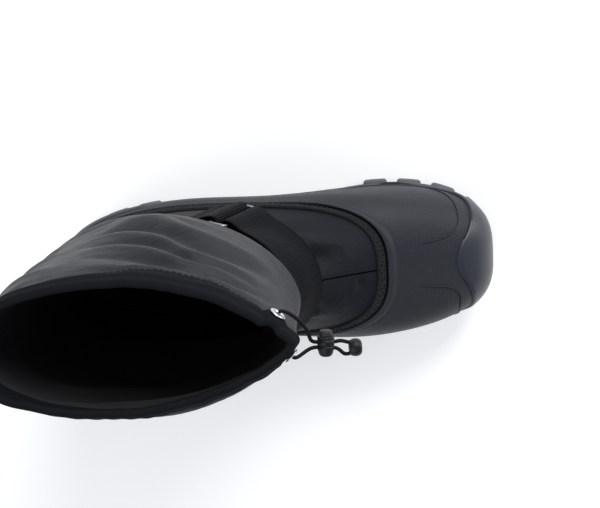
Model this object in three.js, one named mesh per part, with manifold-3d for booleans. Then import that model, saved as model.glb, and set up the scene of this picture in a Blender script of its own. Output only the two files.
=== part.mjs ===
// A right-foot snow boot: lugged rubber outsole, moulded rubber foot shell, padded nylon upper
// with a drawcord collar, and a webbing instep strap. Millimetres, +X to the toe, +Y to the
// boot's left (its medial side), +Z up, standing on z = 0.
import * as THREE from "three";
import { mergeVertices } from "three/addons/utils/BufferGeometryUtils.js";
import Module from "manifold-3d";

const wasm = await Module();
wasm.setup();

// ---------------------------------------------------------------- driving dimensions

const AROUND = 48; // columns round the boot
const CROWDING = 0.03; // how far the columns crowd together at toe and heel
const GAP = 0.3; // clearance between pieces that touch
const WALL = 3; // padded nylon wall of the upper
const HEM_WALL = 4; // the same wall at the collar's hem
const SHELL_WALL = 3; // rubber of the foot shell
const LIP = 1.3; // how far the shell's throat lip stands out
const BUMPER_WALL = 1.4;
const BINDING = { width: 8.5, thick: 1.2 };
const INSOLE = { thick: 5, margin: 1.6 };
const SOLE = {
  ledge: 4.8, // outsole's edge beyond the upper's outline
  lugReach: 7.3, // lugs' side faces beyond the same outline
  lugDepth: 5,
  chamfer: 1.5,
  heelBreast: 84, // the heel's flat ends here
  treadStart: 158, // the forefoot's flat starts here
  archRise: 6,
  springStart: 243, // the forefoot's flat ends here
  springRise: 9,
  toeTip: 310.5,
};
const LUG = {
  length: 17, // along the sole's edge
  pitch: 24.3,
  width: 25, // in from the sole's edge
  corner: 3, // cut off each corner
  beforeToe: 7, // the toe's first lug stands this far forward of the row
  middle: 15, // width of the lugs in the two middle rows
  middleY: 9.25,
  middleTurn: 0.35,
  heelStart: 22,
  treadStart: 172,
  treadEnd: 279,
};
const SIDE_LUGS = { heelEnd: [58, 74], treadStart: [206, 216] }; // where the side lugs fade out
const WAIST = { middle: 152, reach: 55 };
const WEBBING = { width: 38, thick: 1.5, layer: 0.4, clear: 1 };
const STRAP_PLANE = new THREE.Vector3(-0.4555, 0, 0.8902); // across the strap's width
const STRAP_CREST = new THREE.Vector3(177.5, 0, 131.5); // under the strap's middle, on the instep
const RING = { inside: 40, gapLength: 9, bar: 3, corner: 2, thick: 2.4, room: 1 };
const RING_FROM_CREST = 64; // along the strap, from its crest to the ring's near bar
const EYELET = { flange: 9.6, barrel: 5.6, hole: 3.6, proud: 0.9, depth: 1.8, edge: 0.5 };
const CORD = 2.2; // diameter of the drawcord

// The boot's outside from the feather line, where the upper meets the sole, up to the collar.
// Each row is a closed loop round the boot: its back and front ends, its height half-way along,
// its half width, how much narrower than that the heel and each side of the waist are (as
// fractions), how far the toe leans and the whole loop is shifted to the medial side, and how
// square its back and front halves are (2 is an ellipse).
const LEVEL_COLUMNS = [
  "name", "backX", "backZ", "midZ", "frontX", "frontZ", "half", "heel",
  "waistMedial", "waistLateral", "lean", "shift", "backPower", "frontPower",
];
const LEVEL_ROWS = [
  ["feather", 5, 22, 14, 303.5, 19, 49.4, 0.13, 0.22, 0.17, 2, 0, 3.0, 3.3],
  ["lower", 3, 34, 26, 306.5, 32, 51.5, 0.09, 0.13, 0.15, 1.3, 0, 3.0, 3.3],
  ["middle", 3, 48, 42, 300.5, 46, 52.5, 0.05, 0.09, 0.14, 0, 0, 2.9, 3.2],
  ["flank", 5, 60, 56, 285.5, 58, 52.5, 0.02, 0.07, 0.14, -0.8, 0, 2.8, 3.1],
  ["instep", 7, 70, 66, 261.5, 69, 52, 0, 0.05, 0.14, -0.8, 0, 2.7, 3.1],
  ["topline", 9, 78, 74, 234, 80, 50, 0, 0.03, 0.14, -0.5, 0, 2.6, 3.0],
  ["vamp", 11, 93, 91, 209, 97, 44.5, 0, 0, 0.07, 0, 0, 2.6, 2.7],
  ["strap_front", 12, 111, 107, 187, 115.5, 41.5, 0, 0, 0, 0, 0, 2.6, 2.25],
  ["strap_middle", 12, 127, 123, 176.5, 131.5, 41.5, 0, 0, 0, 0, 0, 2.5, 2.15],
  ["strap_back", 11, 141, 138, 167.5, 146, 43.5, 0, 0, 0, 0, -0.4, 2.5, 2.1],
  ["fold_under", 10.5, 152, 149, 170, 155, 48, 0, 0, 0, 0, -1, 2.4, 1.95],
  ["fold_lip", 10, 163, 161, 176, 164, 54, 0, 0, 0, 0, -1.5, 2.3, 1.78],
  ["fold_top", 9, 177, 177, 178.5, 180, 54, 0, 0, 0, 0, -1.7, 2.3, 1.8],
  ["shaft", 6, 202, 203, 179, 206, 51.5, 0, 0, 0, 0, -2, 2.3, 1.8],
  ["shaft_top", 2, 235, 236, 180.5, 238, 47.5, 0, 0, 0, 0, -2.5, 2.3, 1.75],
  ["hem_low", -5, 260, 261, 183, 262, 42.5, 0, 0, 0, 0, -3, 2.2, 1.62],
  ["collar", -10, 275, 275, 184, 275, 40, 0, 0, 0, 0, -3, 2.2, 1.55],
];
const LEVELS = LEVEL_ROWS.map((row) =>
  Object.fromEntries(LEVEL_COLUMNS.map((column, i) => [column, row[i]])),
);
const level = (name) => LEVELS.findIndex((row) => row.name === name);
const TOPLINE = level("topline");
const COLLAR = level("collar");

// The toe bumper's top edge: how high it comes, as a level, at a distance round the boot from
// the toe (as a fraction of the way round).
const BUMPER_EDGE = [
  { away: 0, height: 2.95 },
  { away: 0.018, height: 2.62 },
  { away: 0.042, height: 2.1 },
  { away: 0.064, height: 1.35 },
  { away: 0.083, height: 1.0 },
  { away: 0.11, height: 0.8 },
  { away: 0.15, height: 0.2 },
];

// ---------------------------------------------------------------- the boot's outside

const mix = THREE.MathUtils.lerp;
const smooth = THREE.MathUtils.smoothstep;
const bell = (x, centre, spread) => Math.exp(-(((x - centre) / spread) ** 2));

// A level's columns at a height that may lie between two rows.
function levelAt(height) {
  const top = LEVELS.length - 1;
  const i = THREE.MathUtils.clamp(Math.floor(height), 0, top - 1);
  const t = height - i;
  const row = (k) => LEVELS[THREE.MathUtils.clamp(k, 0, top)];
  const at = {};
  for (const column of LEVEL_COLUMNS.slice(1)) {
    const p0 = row(i - 1)[column];
    const p1 = row(i)[column];
    const p2 = row(i + 1)[column];
    const p3 = row(i + 2)[column];
    const slope1 = i === 0 ? p2 - p1 : (p2 - p0) / 2;
    const slope2 = i + 1 === top ? p2 - p1 : (p3 - p1) / 2;
    const bend = 3 * (p2 - p1) - 2 * slope1 - slope2;
    const twist = 2 * (p1 - p2) + slope1 + slope2;
    at[column] = p1 + t * (slope1 + t * (bend + t * twist));
  }
  return at;
}

// The height of a level's loop at q, the fraction of its length from the back.
const loopZ = (L, q) =>
  L.backZ * (1 - q) * (1 - 2 * q) + 4 * L.midZ * q * (1 - q) + L.frontZ * q * (2 * q - 1);

// The height of the feather line over a place along the boot.
const FEATHER = LEVELS[0];
const footbed = (x) => loopZ(FEATHER, (x - FEATHER.backX) / (FEATHER.frontX - FEATHER.backX));

// One half of a level's loop, from the back to the front: side is 1 medial, -1 lateral.
function halfLoop(L, side, steps) {
  const points = [];
  for (let k = 0; k <= steps; k++) {
    const u = -Math.cos((Math.PI * k) / steps);
    const power = u < 0 ? L.backPower : L.frontPower;
    const q = (u + 1) / 2;
    const full = Math.max(0, 1 - Math.abs(u) ** power) ** (1 / power);
    const heel = L.heel * (1 - smooth(q, 0.1, 0.55));
    const x = mix(L.backX, L.frontX, q);
    const narrow = side > 0 ? L.waistMedial : L.waistLateral;
    const waist = narrow * bell(x, WAIST.middle, WAIST.reach);
    const lean = L.lean * smooth(q, 0.5, 0.95);
    const y = side * L.half * (1 - heel - waist) * full + lean * full + L.shift;
    points.push(new THREE.Vector3(x, y, loopZ(L, q)));
  }
  return points;
}

const loops = new Map();

// A level's whole loop with the distance round it: back, medial side, toe, lateral side.
function loopAt(height) {
  const key = height.toFixed(5);
  if (!loops.has(key)) {
    const L = levelAt(height);
    const steps = 120;
    const points = halfLoop(L, 1, steps).concat(halfLoop(L, -1, steps).reverse().slice(1));
    const halves = [points.slice(0, steps + 1), points.slice(steps)];
    const along = halves.map((half) => {
      const sums = [0];
      half.slice(1).forEach((p, i) => sums.push(sums[i] + p.distanceTo(half[i])));
      return sums;
    });
    loops.set(key, { halves, along });
  }
  return loops.get(key);
}

// The point at a fraction of the way round: 0 back, 0.25 medial, 0.5 toe, 0.75 lateral.
function onLoop(round, height) {
  const { halves, along } = loopAt(height);
  const turn = THREE.MathUtils.euclideanModulo(round, 1);
  const h = turn < 0.5 ? 0 : 1;
  const sums = along[h];
  const want = (turn - 0.5 * h) * 2 * sums[sums.length - 1];
  let low = 0;
  let high = sums.length - 1;
  while (high - low > 1) {
    const middle = (low + high) >> 1;
    if (sums[middle] <= want) low = middle;
    else high = middle;
  }
  const t = (want - sums[low]) / (sums[high] - sums[low]);
  return halves[h][low].clone().lerp(halves[h][high], t);
}

// The outward direction of the boot's outside.
function outward(round, height) {
  const dr = 0.004;
  const dh = 0.05;
  const up = Math.min(height + dh, COLLAR);
  const down = Math.max(height - dh, 0);
  const across = onLoop(round + dr, height).sub(onLoop(round - dr, height));
  const rise = onLoop(round, up).sub(onLoop(round, down));
  const out = rise.cross(across).normalize();
  out.z *= smooth(height, 0, 0.5); // level at the feather line, so that pieces end in one surface
  return out.normalize();
}

// A point off the boot's outside; on the feather line it stays in the feather surface.
function outside(round, height, offset) {
  const p = onLoop(round, height).addScaledVector(outward(round, height), offset);
  if (height === 0) p.z = footbed(p.x);
  return p;
}

// Where the columns stand: closer together at toe and heel.
const column = (i) => i / AROUND - CROWDING * Math.sin((4 * Math.PI * i) / AROUND) / 2;
const COLUMNS = Array.from({ length: AROUND }, (_, i) => column(i));
const ring = (height, offset) => COLUMNS.map((round) => outside(round, height, offset));

// ---------------------------------------------------------------- closed surfaces

// A geometry from corner points and triangles, turned so that it faces outwards.
function closed(points, triangles) {
  let volume = 0;
  const cross = new THREE.Vector3();
  for (const [a, b, c] of triangles) {
    volume += points[a].dot(cross.crossVectors(points[b], points[c]));
  }
  const faces = volume < 0 ? triangles.map(([a, b, c]) => [a, c, b]) : triangles;
  const geometry = new THREE.BufferGeometry().setFromPoints(points);
  geometry.setIndex(faces.flat());
  return geometry;
}

const quad = (a, b, c, d) => [[a, b, c], [a, c, d]];

// The faces between rows of points that each go once round the boot, first point at `base`.
function wraps(rows, base) {
  const n = rows[0].length;
  const triangles = [];
  for (let r = 0; r + 1 < rows.length; r++) {
    for (let i = 0; i < n; i++) {
      const j = (i + 1) % n;
      const low = base + r * n;
      triangles.push(...quad(low + i, low + j, low + n + j, low + n + i));
    }
  }
  return triangles;
}

// A hollow band round the boot, open above and below, between rows outside and rows inside.
function band(outer, inner) {
  const n = outer[0].length;
  const base = outer.length * n;
  const triangles = [...wraps(outer, 0), ...wraps(inner, base).map(([a, b, c]) => [a, c, b])];
  const top = (outer.length - 1) * n;
  const innerTop = base + (inner.length - 1) * n;
  for (let i = 0; i < n; i++) {
    const j = (i + 1) % n;
    triangles.push(...quad(i, base + i, base + j, j));
    triangles.push(...quad(top + i, top + j, innerTop + j, innerTop + i));
  }
  return closed([...outer.flat(), ...inner.flat()], triangles);
}

// A full body round the boot: rows from the bottom up, capped straight across at both ends.
function loaf(rows) {
  const n = rows[0].length;
  const triangles = wraps(rows, 0);
  for (const [base, flip] of [[0, true], [(rows.length - 1) * n, false]]) {
    for (let i = 0; i < n / 2; i++) {
      const corners = [i, i + 1, n - i - 1, (n - i) % n].map((k) => base + k);
      for (const [a, b, c] of quad(...corners)) {
        if (new Set([a, b, c]).size === 3) triangles.push(flip ? [a, c, b] : [a, b, c]);
      }
    }
  }
  return closed(rows.flat(), triangles);
}

// A patch of cloth or rubber between an inner and an outer grid of points.
function slab(inner, outer) {
  const rows = inner.length;
  const n = inner[0].length;
  const points = [...inner.flat(), ...outer.flat()];
  const at = (layer, r, i) => (layer * rows + r) * n + i;
  const triangles = [];
  for (let r = 0; r + 1 < rows; r++) {
    for (let i = 0; i + 1 < n; i++) {
      triangles.push(...quad(at(0, r, i), at(0, r, i + 1), at(0, r + 1, i + 1), at(0, r + 1, i)));
      triangles.push(...quad(at(1, r, i), at(1, r + 1, i), at(1, r + 1, i + 1), at(1, r, i + 1)));
    }
    triangles.push(...quad(at(0, r, 0), at(0, r + 1, 0), at(1, r + 1, 0), at(1, r, 0)));
    const e = n - 1;
    triangles.push(...quad(at(0, r, e), at(1, r, e), at(1, r + 1, e), at(0, r + 1, e)));
  }
  for (let i = 0; i + 1 < n; i++) {
    const e = rows - 1;
    triangles.push(...quad(at(0, 0, i), at(1, 0, i), at(1, 0, i + 1), at(0, 0, i + 1)));
    triangles.push(...quad(at(0, e, i), at(0, e, i + 1), at(1, e, i + 1), at(1, e, i)));
  }
  return closed(points, triangles);
}

// ---------------------------------------------------------------- solids

function solid(geometry) {
  const bare = geometry.clone();
  bare.deleteAttribute("normal");
  bare.deleteAttribute("uv");
  const merged = mergeVertices(bare, 1e-4);
  return new wasm.Manifold(
    new wasm.Mesh({
      numProp: 3,
      vertProperties: merged.attributes.position.array,
      triVerts: new Uint32Array(merged.index.array),
    }),
  );
}

function geometryOf(manifold) {
  const mesh = manifold.getMesh();
  const geometry = new THREE.BufferGeometry();
  geometry.setAttribute("position", new THREE.BufferAttribute(mesh.vertProperties, 3));
  geometry.setIndex(new THREE.BufferAttribute(mesh.triVerts, 1));
  return geometry;
}

// ---------------------------------------------------------------- outsole

// The height of the tread's ground face: flat heel, arch, flat forefoot, toe spring.
function tread(x) {
  const arch = (x - SOLE.heelBreast) / (SOLE.treadStart - SOLE.heelBreast);
  const spring = (x - SOLE.springStart) / (SOLE.toeTip - SOLE.springStart);
  if (arch > 0 && arch < 1) return SOLE.archRise * Math.sin(Math.PI * arch) ** 2;
  return spring > 0 ? SOLE.springRise * spring ** 1.7 : 0;
}

// The way out of the sole's outline in plan, and along it.
function soleEdge(round) {
  const along = onLoop(round + 0.004, 0).sub(onLoop(round - 0.004, 0));
  return { along, out: new THREE.Vector3(-along.y, along.x, 0).normalize() };
}

// How far the lugs stand beyond the feather line: at the waist they stay inside the sole's edge.
function lugReach(x) {
  const bare = smooth(x, ...SIDE_LUGS.heelEnd) * (1 - smooth(x, ...SIDE_LUGS.treadStart));
  return mix(SOLE.lugReach, SOLE.ledge - 0.8, bare);
}

// The sole's outline, grown beyond the feather line in plan, at a height worked out from x.
function soleRing(growAt, heightAt) {
  return COLUMNS.map((round) => {
    const p = onLoop(round, 0);
    p.addScaledVector(soleEdge(round).out, growAt(p.x));
    p.z = heightAt(p.x);
    return p;
  });
}

// One lug's outline in plan, at a place, turned to an angle.
function lugPrism(x, y, length, width, angle) {
  const shape = new THREE.Shape();
  const cut = LUG.corner;
  const l = length / 2;
  const w = width / 2;
  shape.moveTo(-l + cut, -w);
  shape.lineTo(l - cut, -w);
  shape.lineTo(l, -w + cut);
  shape.lineTo(l, w - cut);
  shape.lineTo(l - cut, w);
  shape.lineTo(-l + cut, w);
  shape.lineTo(-l, w - cut);
  shape.lineTo(-l, -w + cut);
  const prism = new THREE.ExtrudeGeometry(shape, { depth: 40, bevelEnabled: false });
  prism.rotateZ(angle);
  prism.translate(x, y, -5);
  return solid(prism);
}

// The lugs' places: along each edge of the sole, and two rows down its middle.
function lugPrisms() {
  const length = loopLength(0);
  const lugs = [];
  for (const side of [1, -1]) {
    for (let away = LUG.pitch / 2 - LUG.beforeToe; away < length / 2; away += LUG.pitch) {
      const round = 0.5 - (side * away) / length;
      const p = onLoop(round, 0);
      if (p.x > SOLE.heelBreast - 4 && p.x < SOLE.treadStart + 4) continue;
      const { along, out } = soleEdge(round);
      p.addScaledVector(out, SOLE.lugReach + 2 - LUG.width / 2);
      lugs.push(lugPrism(p.x, p.y, LUG.length, LUG.width, Math.atan2(along.y, along.x)));
    }
  }
  const rows = [];
  for (let x = LUG.heelStart; x < SOLE.heelBreast - 8; x += LUG.pitch) rows.push(x);
  for (let x = LUG.treadStart; x < LUG.treadEnd; x += LUG.pitch) rows.push(x);
  for (const x of rows) {
    for (const side of [1, -1]) {
      lugs.push(lugPrism(x, side * LUG.middleY, LUG.length - 2, LUG.middle, side * LUG.middleTurn));
    }
  }
  return lugs;
}

function loopLength(height) {
  const { along } = loopAt(height);
  return along[0].at(-1) + along[1].at(-1);
}

function outsole() {
  const { ledge, lugDepth, chamfer } = SOLE;
  const plate = loaf([
    soleRing(() => ledge - chamfer, (x) => tread(x) + lugDepth),
    soleRing(() => ledge, (x) => tread(x) + lugDepth + chamfer),
    soleRing(() => ledge, (x) => footbed(x) - GAP),
  ]);
  const lugForm = loaf([
    soleRing((x) => lugReach(x) - chamfer, tread),
    soleRing(lugReach, (x) => tread(x) + chamfer),
    soleRing((x) => lugReach(x) - 0.6, (x) => footbed(x) - 4.5),
    soleRing(() => ledge - 1, (x) => footbed(x) - 2.5),
  ]);
  const form = solid(lugForm);
  let whole = solid(plate);
  for (const lug of lugPrisms()) whole = whole.add(form.intersect(lug));
  return geometryOf(whole);
}

// ---------------------------------------------------------------- upper, shell and insole

const FOOT_ROWS = [0, 0.5, 1, 1.5, 2, 3, 4, 5];
const LEG_ROWS = [5.5, 6, 7, 8, 8.5, 9, 9.5, 10, 10.5, 11, 12, 13, 14, 15];
const UPPER_ROWS = [...FOOT_ROWS, ...LEG_ROWS, COLLAR];
const LINING_ROWS = LEVELS.map((_, i) => i).filter((i) => i !== 9 && i !== 11);

const wallAt = (height) => mix(WALL, HEM_WALL, smooth(height, COLLAR - 2, COLLAR - 1));

function upper() {
  const out = UPPER_ROWS.map((height) => ring(height, 0));
  const inside = LINING_ROWS.map((height) => ring(height, -wallAt(height)));
  let body = solid(band(out, inside));
  for (const seat of Object.values(EYELETS)) {
    const hole = new THREE.CylinderGeometry(
      EYELET.barrel / 2 + GAP, EYELET.barrel / 2 + GAP, 2 * (EYELET.depth + GAP), 16,
    );
    hole.rotateX(Math.PI / 2);
    hole.applyMatrix4(seat);
    body = body.subtract(solid(hole));
  }
  return geometryOf(body);
}

function shell() {
  const rows = FOOT_ROWS.flatMap((height) => (height === 5 ? [4.72, 4.9, 5] : [height]));
  const lip = new Map([[4.9, LIP], [5, LIP / 2]]);
  const proud = (height) => GAP + SHELL_WALL + (lip.get(height) ?? 0);
  const out = rows.map((height) => ring(height, proud(height)));
  const inside = FOOT_ROWS.map((height) => ring(height, GAP));
  return band(out, inside);
}

function edgeHeight(away) {
  const i = BUMPER_EDGE.findIndex((row) => row.away >= away);
  if (i < 1) return BUMPER_EDGE[i < 0 ? BUMPER_EDGE.length - 1 : 0].height;
  const a = BUMPER_EDGE[i - 1];
  const b = BUMPER_EDGE[i];
  return mix(a.height, b.height, smooth(away, a.away, b.away));
}

// A smooth overlay round the toe: a band a little outside the shell, kept below its top edge.
function toeBumper() {
  const rows = FOOT_ROWS.filter((height) => height < 5);
  const near = GAP + SHELL_WALL + GAP;
  const out = rows.map((height) => ring(height, near + BUMPER_WALL));
  const inside = rows.map((height) => ring(height, near));
  const whole = solid(band(out, inside));
  const reach = BUMPER_EDGE.at(-1).away;
  const steps = 20;
  const grid = (offset) =>
    [0.12, 0.5, 1].map((part) =>
      Array.from({ length: steps + 1 }, (_, k) => {
        const away = reach * ((2 * k) / steps - 1);
        const height = part < 0.2 ? part : mix(0.12, edgeHeight(Math.abs(away)), part);
        return outside(0.5 + away, height, offset);
      }),
    );
  return geometryOf(whole.intersect(solid(slab(grid(1), grid(9)))));
}

function insole() {
  const inward = -(WALL + INSOLE.margin);
  const rise = 0.45; // the insole's top edge, as a level
  const bottom = ring(0.02, inward);
  const top = ring(rise, inward);
  for (const p of bottom) p.z = footbed(p.x) + GAP;
  for (const p of top) p.z = footbed(p.x) + GAP + INSOLE.thick;
  return loaf([bottom, top]);
}

function shellBinding() {
  const start = TOPLINE + 0.04;
  const rise = onLoop(0.5, TOPLINE).distanceTo(onLoop(0.5, TOPLINE + 1));
  const end = start + BINDING.width / rise;
  const rows = [start, 5.5, end].filter((height) => height <= end).sort((a, b) => a - b);
  const out = rows.map((height) => ring(height, GAP + BINDING.thick));
  const inside = rows.map((height) => ring(height, GAP));
  return band(out, inside);
}

// ---------------------------------------------------------------- strap, ring and tab

// The height at which the boot's outside meets the strap's plane, w across from its middle.
function strapHeight(round, w) {
  const want = STRAP_PLANE.dot(STRAP_CREST) + w;
  let low = TOPLINE - 1;
  let high = COLLAR;
  for (let k = 0; k < 30; k++) {
    const middle = (low + high) / 2;
    if (STRAP_PLANE.dot(onLoop(round, middle)) < want) low = middle;
    else high = middle;
  }
  return (low + high) / 2;
}

const strapLines = new Map();

// The line over the instep that the strap follows at w across, with its length from the crest.
function strapLine(w) {
  const key = w.toFixed(4);
  if (!strapLines.has(key)) {
    const walk = (sign) => {
      const line = [];
      let length = 0;
      let before = null;
      for (let k = 0; k <= 60; k++) {
        const round = 0.5 - sign * k * 0.005;
        const height = strapHeight(round, w);
        const p = onLoop(round, height);
        length += before ? p.distanceTo(before) : 0;
        before = p;
        line.push({ round, height, length: sign * length });
      }
      return line;
    };
    const line = [...walk(-1).slice(1).reverse(), ...walk(1)];
    strapLines.set(key, line);
  }
  return strapLines.get(key);
}

// A point off the upper: along from the crest (medial is positive) and across.
function instepPoint(along, w, offset) {
  const line = strapLine(w);
  let i = line.findIndex((row) => row.length > along);
  i = i < 1 ? line.length - 1 : i;
  const a = line[i - 1];
  const b = line[i];
  const t = (along - a.length) / (b.length - a.length);
  return outside(mix(a.round, b.round, t), mix(a.height, b.height, t), offset);
}

// The ring's place: its middle, with X along the strap, Y across it and Z off the upper.
const RING_MIDDLE = RING_FROM_CREST + (RING.bar + RING.gapLength) / 2;
const TURN = {
  ahead: RING.bar / 2 + RING.room + WEBBING.thick / 2,
  over: RING.thick / 2 + RING.room + WEBBING.thick / 2,
};
const RING_OFFSET = WEBBING.clear + WEBBING.thick / 2 + TURN.over;

function ringSeat() {
  const edge = WEBBING.width / 2;
  const front = instepPoint(RING_MIDDLE, edge, RING_OFFSET);
  const back = instepPoint(RING_MIDDLE, -edge, RING_OFFSET);
  const ahead = instepPoint(RING_MIDDLE + 6, 0, 0);
  const along = ahead.sub(instepPoint(RING_MIDDLE - 6, 0, 0)).normalize();
  const across = front.clone().sub(back);
  across.addScaledVector(along, -across.dot(along)).normalize();
  const off = new THREE.Vector3().crossVectors(along, across);
  return new THREE.Matrix4().makeBasis(along, across, off).setPosition(front.lerp(back, 0.5));
}
const RING_SEAT = ringSeat();

// A point of the strap: it lies on the upper, and straightens out to lie flat at the ring.
function strapPoint(along, w, offset) {
  const free = instepPoint(along, w, offset);
  const flat = 1 - smooth(Math.abs(along - RING_MIDDLE), 9, 24);
  const onRing = new THREE.Vector3(along - RING_MIDDLE, w, offset - RING_OFFSET);
  return free.lerp(onRing.applyMatrix4(RING_SEAT), flat);
}

// Stations of webbing that lies on the upper, turns round a bar and comes back over itself.
// Each is { along, offset, lift }: the mid-surface's place, and the way its thickness points.
function foldedStations(start, barAt, end, steps) {
  const under = WEBBING.clear + WEBBING.thick / 2;
  const over = under + WEBBING.thick + WEBBING.layer;
  const towards = Math.sign(barAt - start);
  const stations = [];
  for (let k = 0; k <= steps; k++) {
    const along = mix(start, barAt, k / steps);
    stations.push({ along, offset: under, tilt: 0 });
  }
  const turns = 6;
  for (let k = 1; k < turns; k++) {
    const angle = (Math.PI * k) / turns;
    const along = barAt + towards * TURN.ahead * Math.sin(angle);
    stations.push({ along, offset: under + TURN.over * (1 - Math.cos(angle)), tilt: angle });
  }
  const rise = 14; // the layers close up over this length
  for (let k = 0; k <= steps; k++) {
    const along = mix(barAt, end, k / steps);
    const spread = 1 - smooth(Math.abs(along - barAt), 0, rise);
    stations.push({ along, offset: mix(over, under + 2 * TURN.over, spread), tilt: Math.PI });
  }
  return { stations, towards };
}

function webbing({ start, barAt, end, steps, roundEnd }) {
  const { stations, towards } = foldedStations(start, barAt, end, steps);
  const half = WEBBING.width / 2;
  const columns = 5;
  const layer = (sign) =>
    stations.map(({ along, offset, tilt }) => {
      const left = Math.abs(end - along);
      const free = tilt === Math.PI && left < half; // the free end is a half round
      const near = free ? Math.sqrt(half ** 2 - (half - left) ** 2) : half;
      const reach = roundEnd ? Math.max(near, half * 0.35) : half;
      return Array.from({ length: columns }, (_, c) => {
        const w = reach * ((2 * c) / (columns - 1) - 1);
        const push = (sign * WEBBING.thick) / 2;
        const shift = towards * push * Math.sin(tilt);
        return strapPoint(along + shift, w, offset - push * Math.cos(tilt));
      });
    });
  return slab(layer(1), layer(-1));
}

function roundedRectangle(path, length, width, radius) {
  const l = length / 2;
  const w = width / 2;
  path.moveTo(-l + radius, -w);
  path.lineTo(l - radius, -w);
  path.absarc(l - radius, -w + radius, radius, -Math.PI / 2, 0);
  path.lineTo(l, w - radius);
  path.absarc(l - radius, w - radius, radius, 0, Math.PI / 2);
  path.lineTo(-l + radius, w);
  path.absarc(-l + radius, w - radius, radius, Math.PI / 2, Math.PI);
  path.lineTo(-l, -w + radius);
  path.absarc(-l + radius, -w + radius, radius, Math.PI, 1.5 * Math.PI);
  return path;
}

function strapRing() {
  const shape = roundedRectangle(
    new THREE.Shape(), RING.gapLength + 2 * RING.bar, RING.inside + 2 * RING.bar, RING.corner + 1,
  );
  shape.holes.push(roundedRectangle(new THREE.Path(), RING.gapLength, RING.inside, RING.corner));
  const flat = new THREE.ExtrudeGeometry(shape, {
    depth: RING.thick, bevelEnabled: false, curveSegments: 3,
  });
  flat.translate(0, 0, -RING.thick / 2);
  flat.applyMatrix4(RING_SEAT);
  return flat;
}

// ---------------------------------------------------------------- collar fittings

// A seat on the collar: Z along the wall's outward direction, at the wall's outside.
function collarSeat(round, height) {
  const at = onLoop(round, height);
  const off = outward(round, height);
  const up = new THREE.Vector3(0, 0, 1);
  const side = new THREE.Vector3().crossVectors(up, off).normalize();
  const rise = new THREE.Vector3().crossVectors(off, side);
  return new THREE.Matrix4().makeBasis(side, rise, off).setPosition(at);
}

const EYELETS = {
  eyelet_medial: collarSeat(0.458, COLLAR - 0.62),
  eyelet_lateral: collarSeat(0.524, COLLAR - 0.62),
};

function eyelet(seat) {
  const { flange, barrel, hole, proud, depth, edge } = EYELET;
  const profile = [
    [hole / 2, -depth],
    [barrel / 2, -depth],
    [barrel / 2, GAP],
    [flange / 2, GAP],
    [flange / 2, GAP + edge],
    [flange / 2 - edge, GAP + proud],
    [hole / 2 + edge, GAP + proud],
    [hole / 2, GAP + edge],
    [hole / 2, -depth],
  ];
  const turned = new THREE.LatheGeometry(profile.map(([r, z]) => new THREE.Vector2(r, z)), 12);
  turned.rotateX(Math.PI / 2);
  turned.applyMatrix4(seat);
  return turned;
}

const LOCK = { radius: 4.8, length: 10, taper: 3.2, button: 3.6, buttonLength: 3 };
const LOCK_AT = new THREE.Vector3(197.3, -8.6, 260.5);
const LOCK_TURN = -0.05; // the barrel's long axis, turned in plan from straight across
const LOCK_STRANDS = 1.5; // half the distance between the two strands in the lock
const END = { radius: 5, neck: 4.2, length: 7, droop: 0.15 };
const END_AT = new THREE.Vector3(210, -11.8, 257);
const END_STRANDS = 3; // half the distance between the two strands at the end piece

// A turned piece with its axis along +Z from z = 0, made from radius and height rows.
function turned(rows, sides) {
  const profile = [[0, rows[0][1]], ...rows, [0, rows.at(-1)[1]]];
  const shape = new THREE.LatheGeometry(profile.map(([r, z]) => new THREE.Vector2(r, z)), sides);
  return shape.rotateX(Math.PI / 2);
}

const lockSeat = new THREE.Matrix4()
  .makeRotationZ(LOCK_TURN)
  .multiply(new THREE.Matrix4().makeRotationX(-Math.PI / 2))
  .setPosition(LOCK_AT);

function cordLock() {
  const { radius, length, taper } = LOCK;
  const half = length / 2;
  const profile = [
    [taper, -half - 1.5],
    [radius - 0.6, -half + 1],
    [radius, -half + 3],
    [radius, half - 0.6],
    [radius - 0.6, half],
  ];
  return turned(profile, 16).applyMatrix4(lockSeat);
}

function cordLockButton() {
  const base = LOCK.length / 2 + GAP;
  const { button, buttonLength } = LOCK;
  const cap = turned(
    [[button, base], [button, base + buttonLength - 0.8], [button - 0.8, base + buttonLength]],
    16,
  );
  return cap.applyMatrix4(lockSeat);
}

function cordEnd() {
  const { radius, neck, length } = END;
  const bell = turned(
    [[neck, 0], [radius, 2], [radius, length - 2], [radius - 1.2, length]],
    14,
  );
  bell.rotateY(Math.PI / 2 + END.droop);
  return bell.translate(END_AT.x, END_AT.y, END_AT.z);
}

// A round cord along a curve through the given places.
function cord(points, steps) {
  const section = new THREE.Shape();
  section.absarc(0, 0, CORD / 2, 0, 2 * Math.PI);
  return new THREE.ExtrudeGeometry(section, {
    steps,
    curveSegments: 4,
    bevelEnabled: false,
    extrudePath: new THREE.CatmullRomCurve3(points, false, "centripetal"),
  });
}

// A place in the lock's own axes, in the boot's.
const UP = new THREE.Vector3(0, 0, 1);
const fromLock = (x, y, z) => new THREE.Vector3(x, y, z).applyAxisAngle(UP, LOCK_TURN).add(LOCK_AT);

// Where a strand bends on its way round the collar's pointed front.
const STRAND_BENDS = {
  eyelet_medial: [new THREE.Vector3(181, 9.5, 266.5), new THREE.Vector3(187.5, 1.5, 264.5)],
  eyelet_lateral: [],
};
const STRAND_LEAVE = 3.2; // a strand stands this far off the collar before it turns

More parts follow.
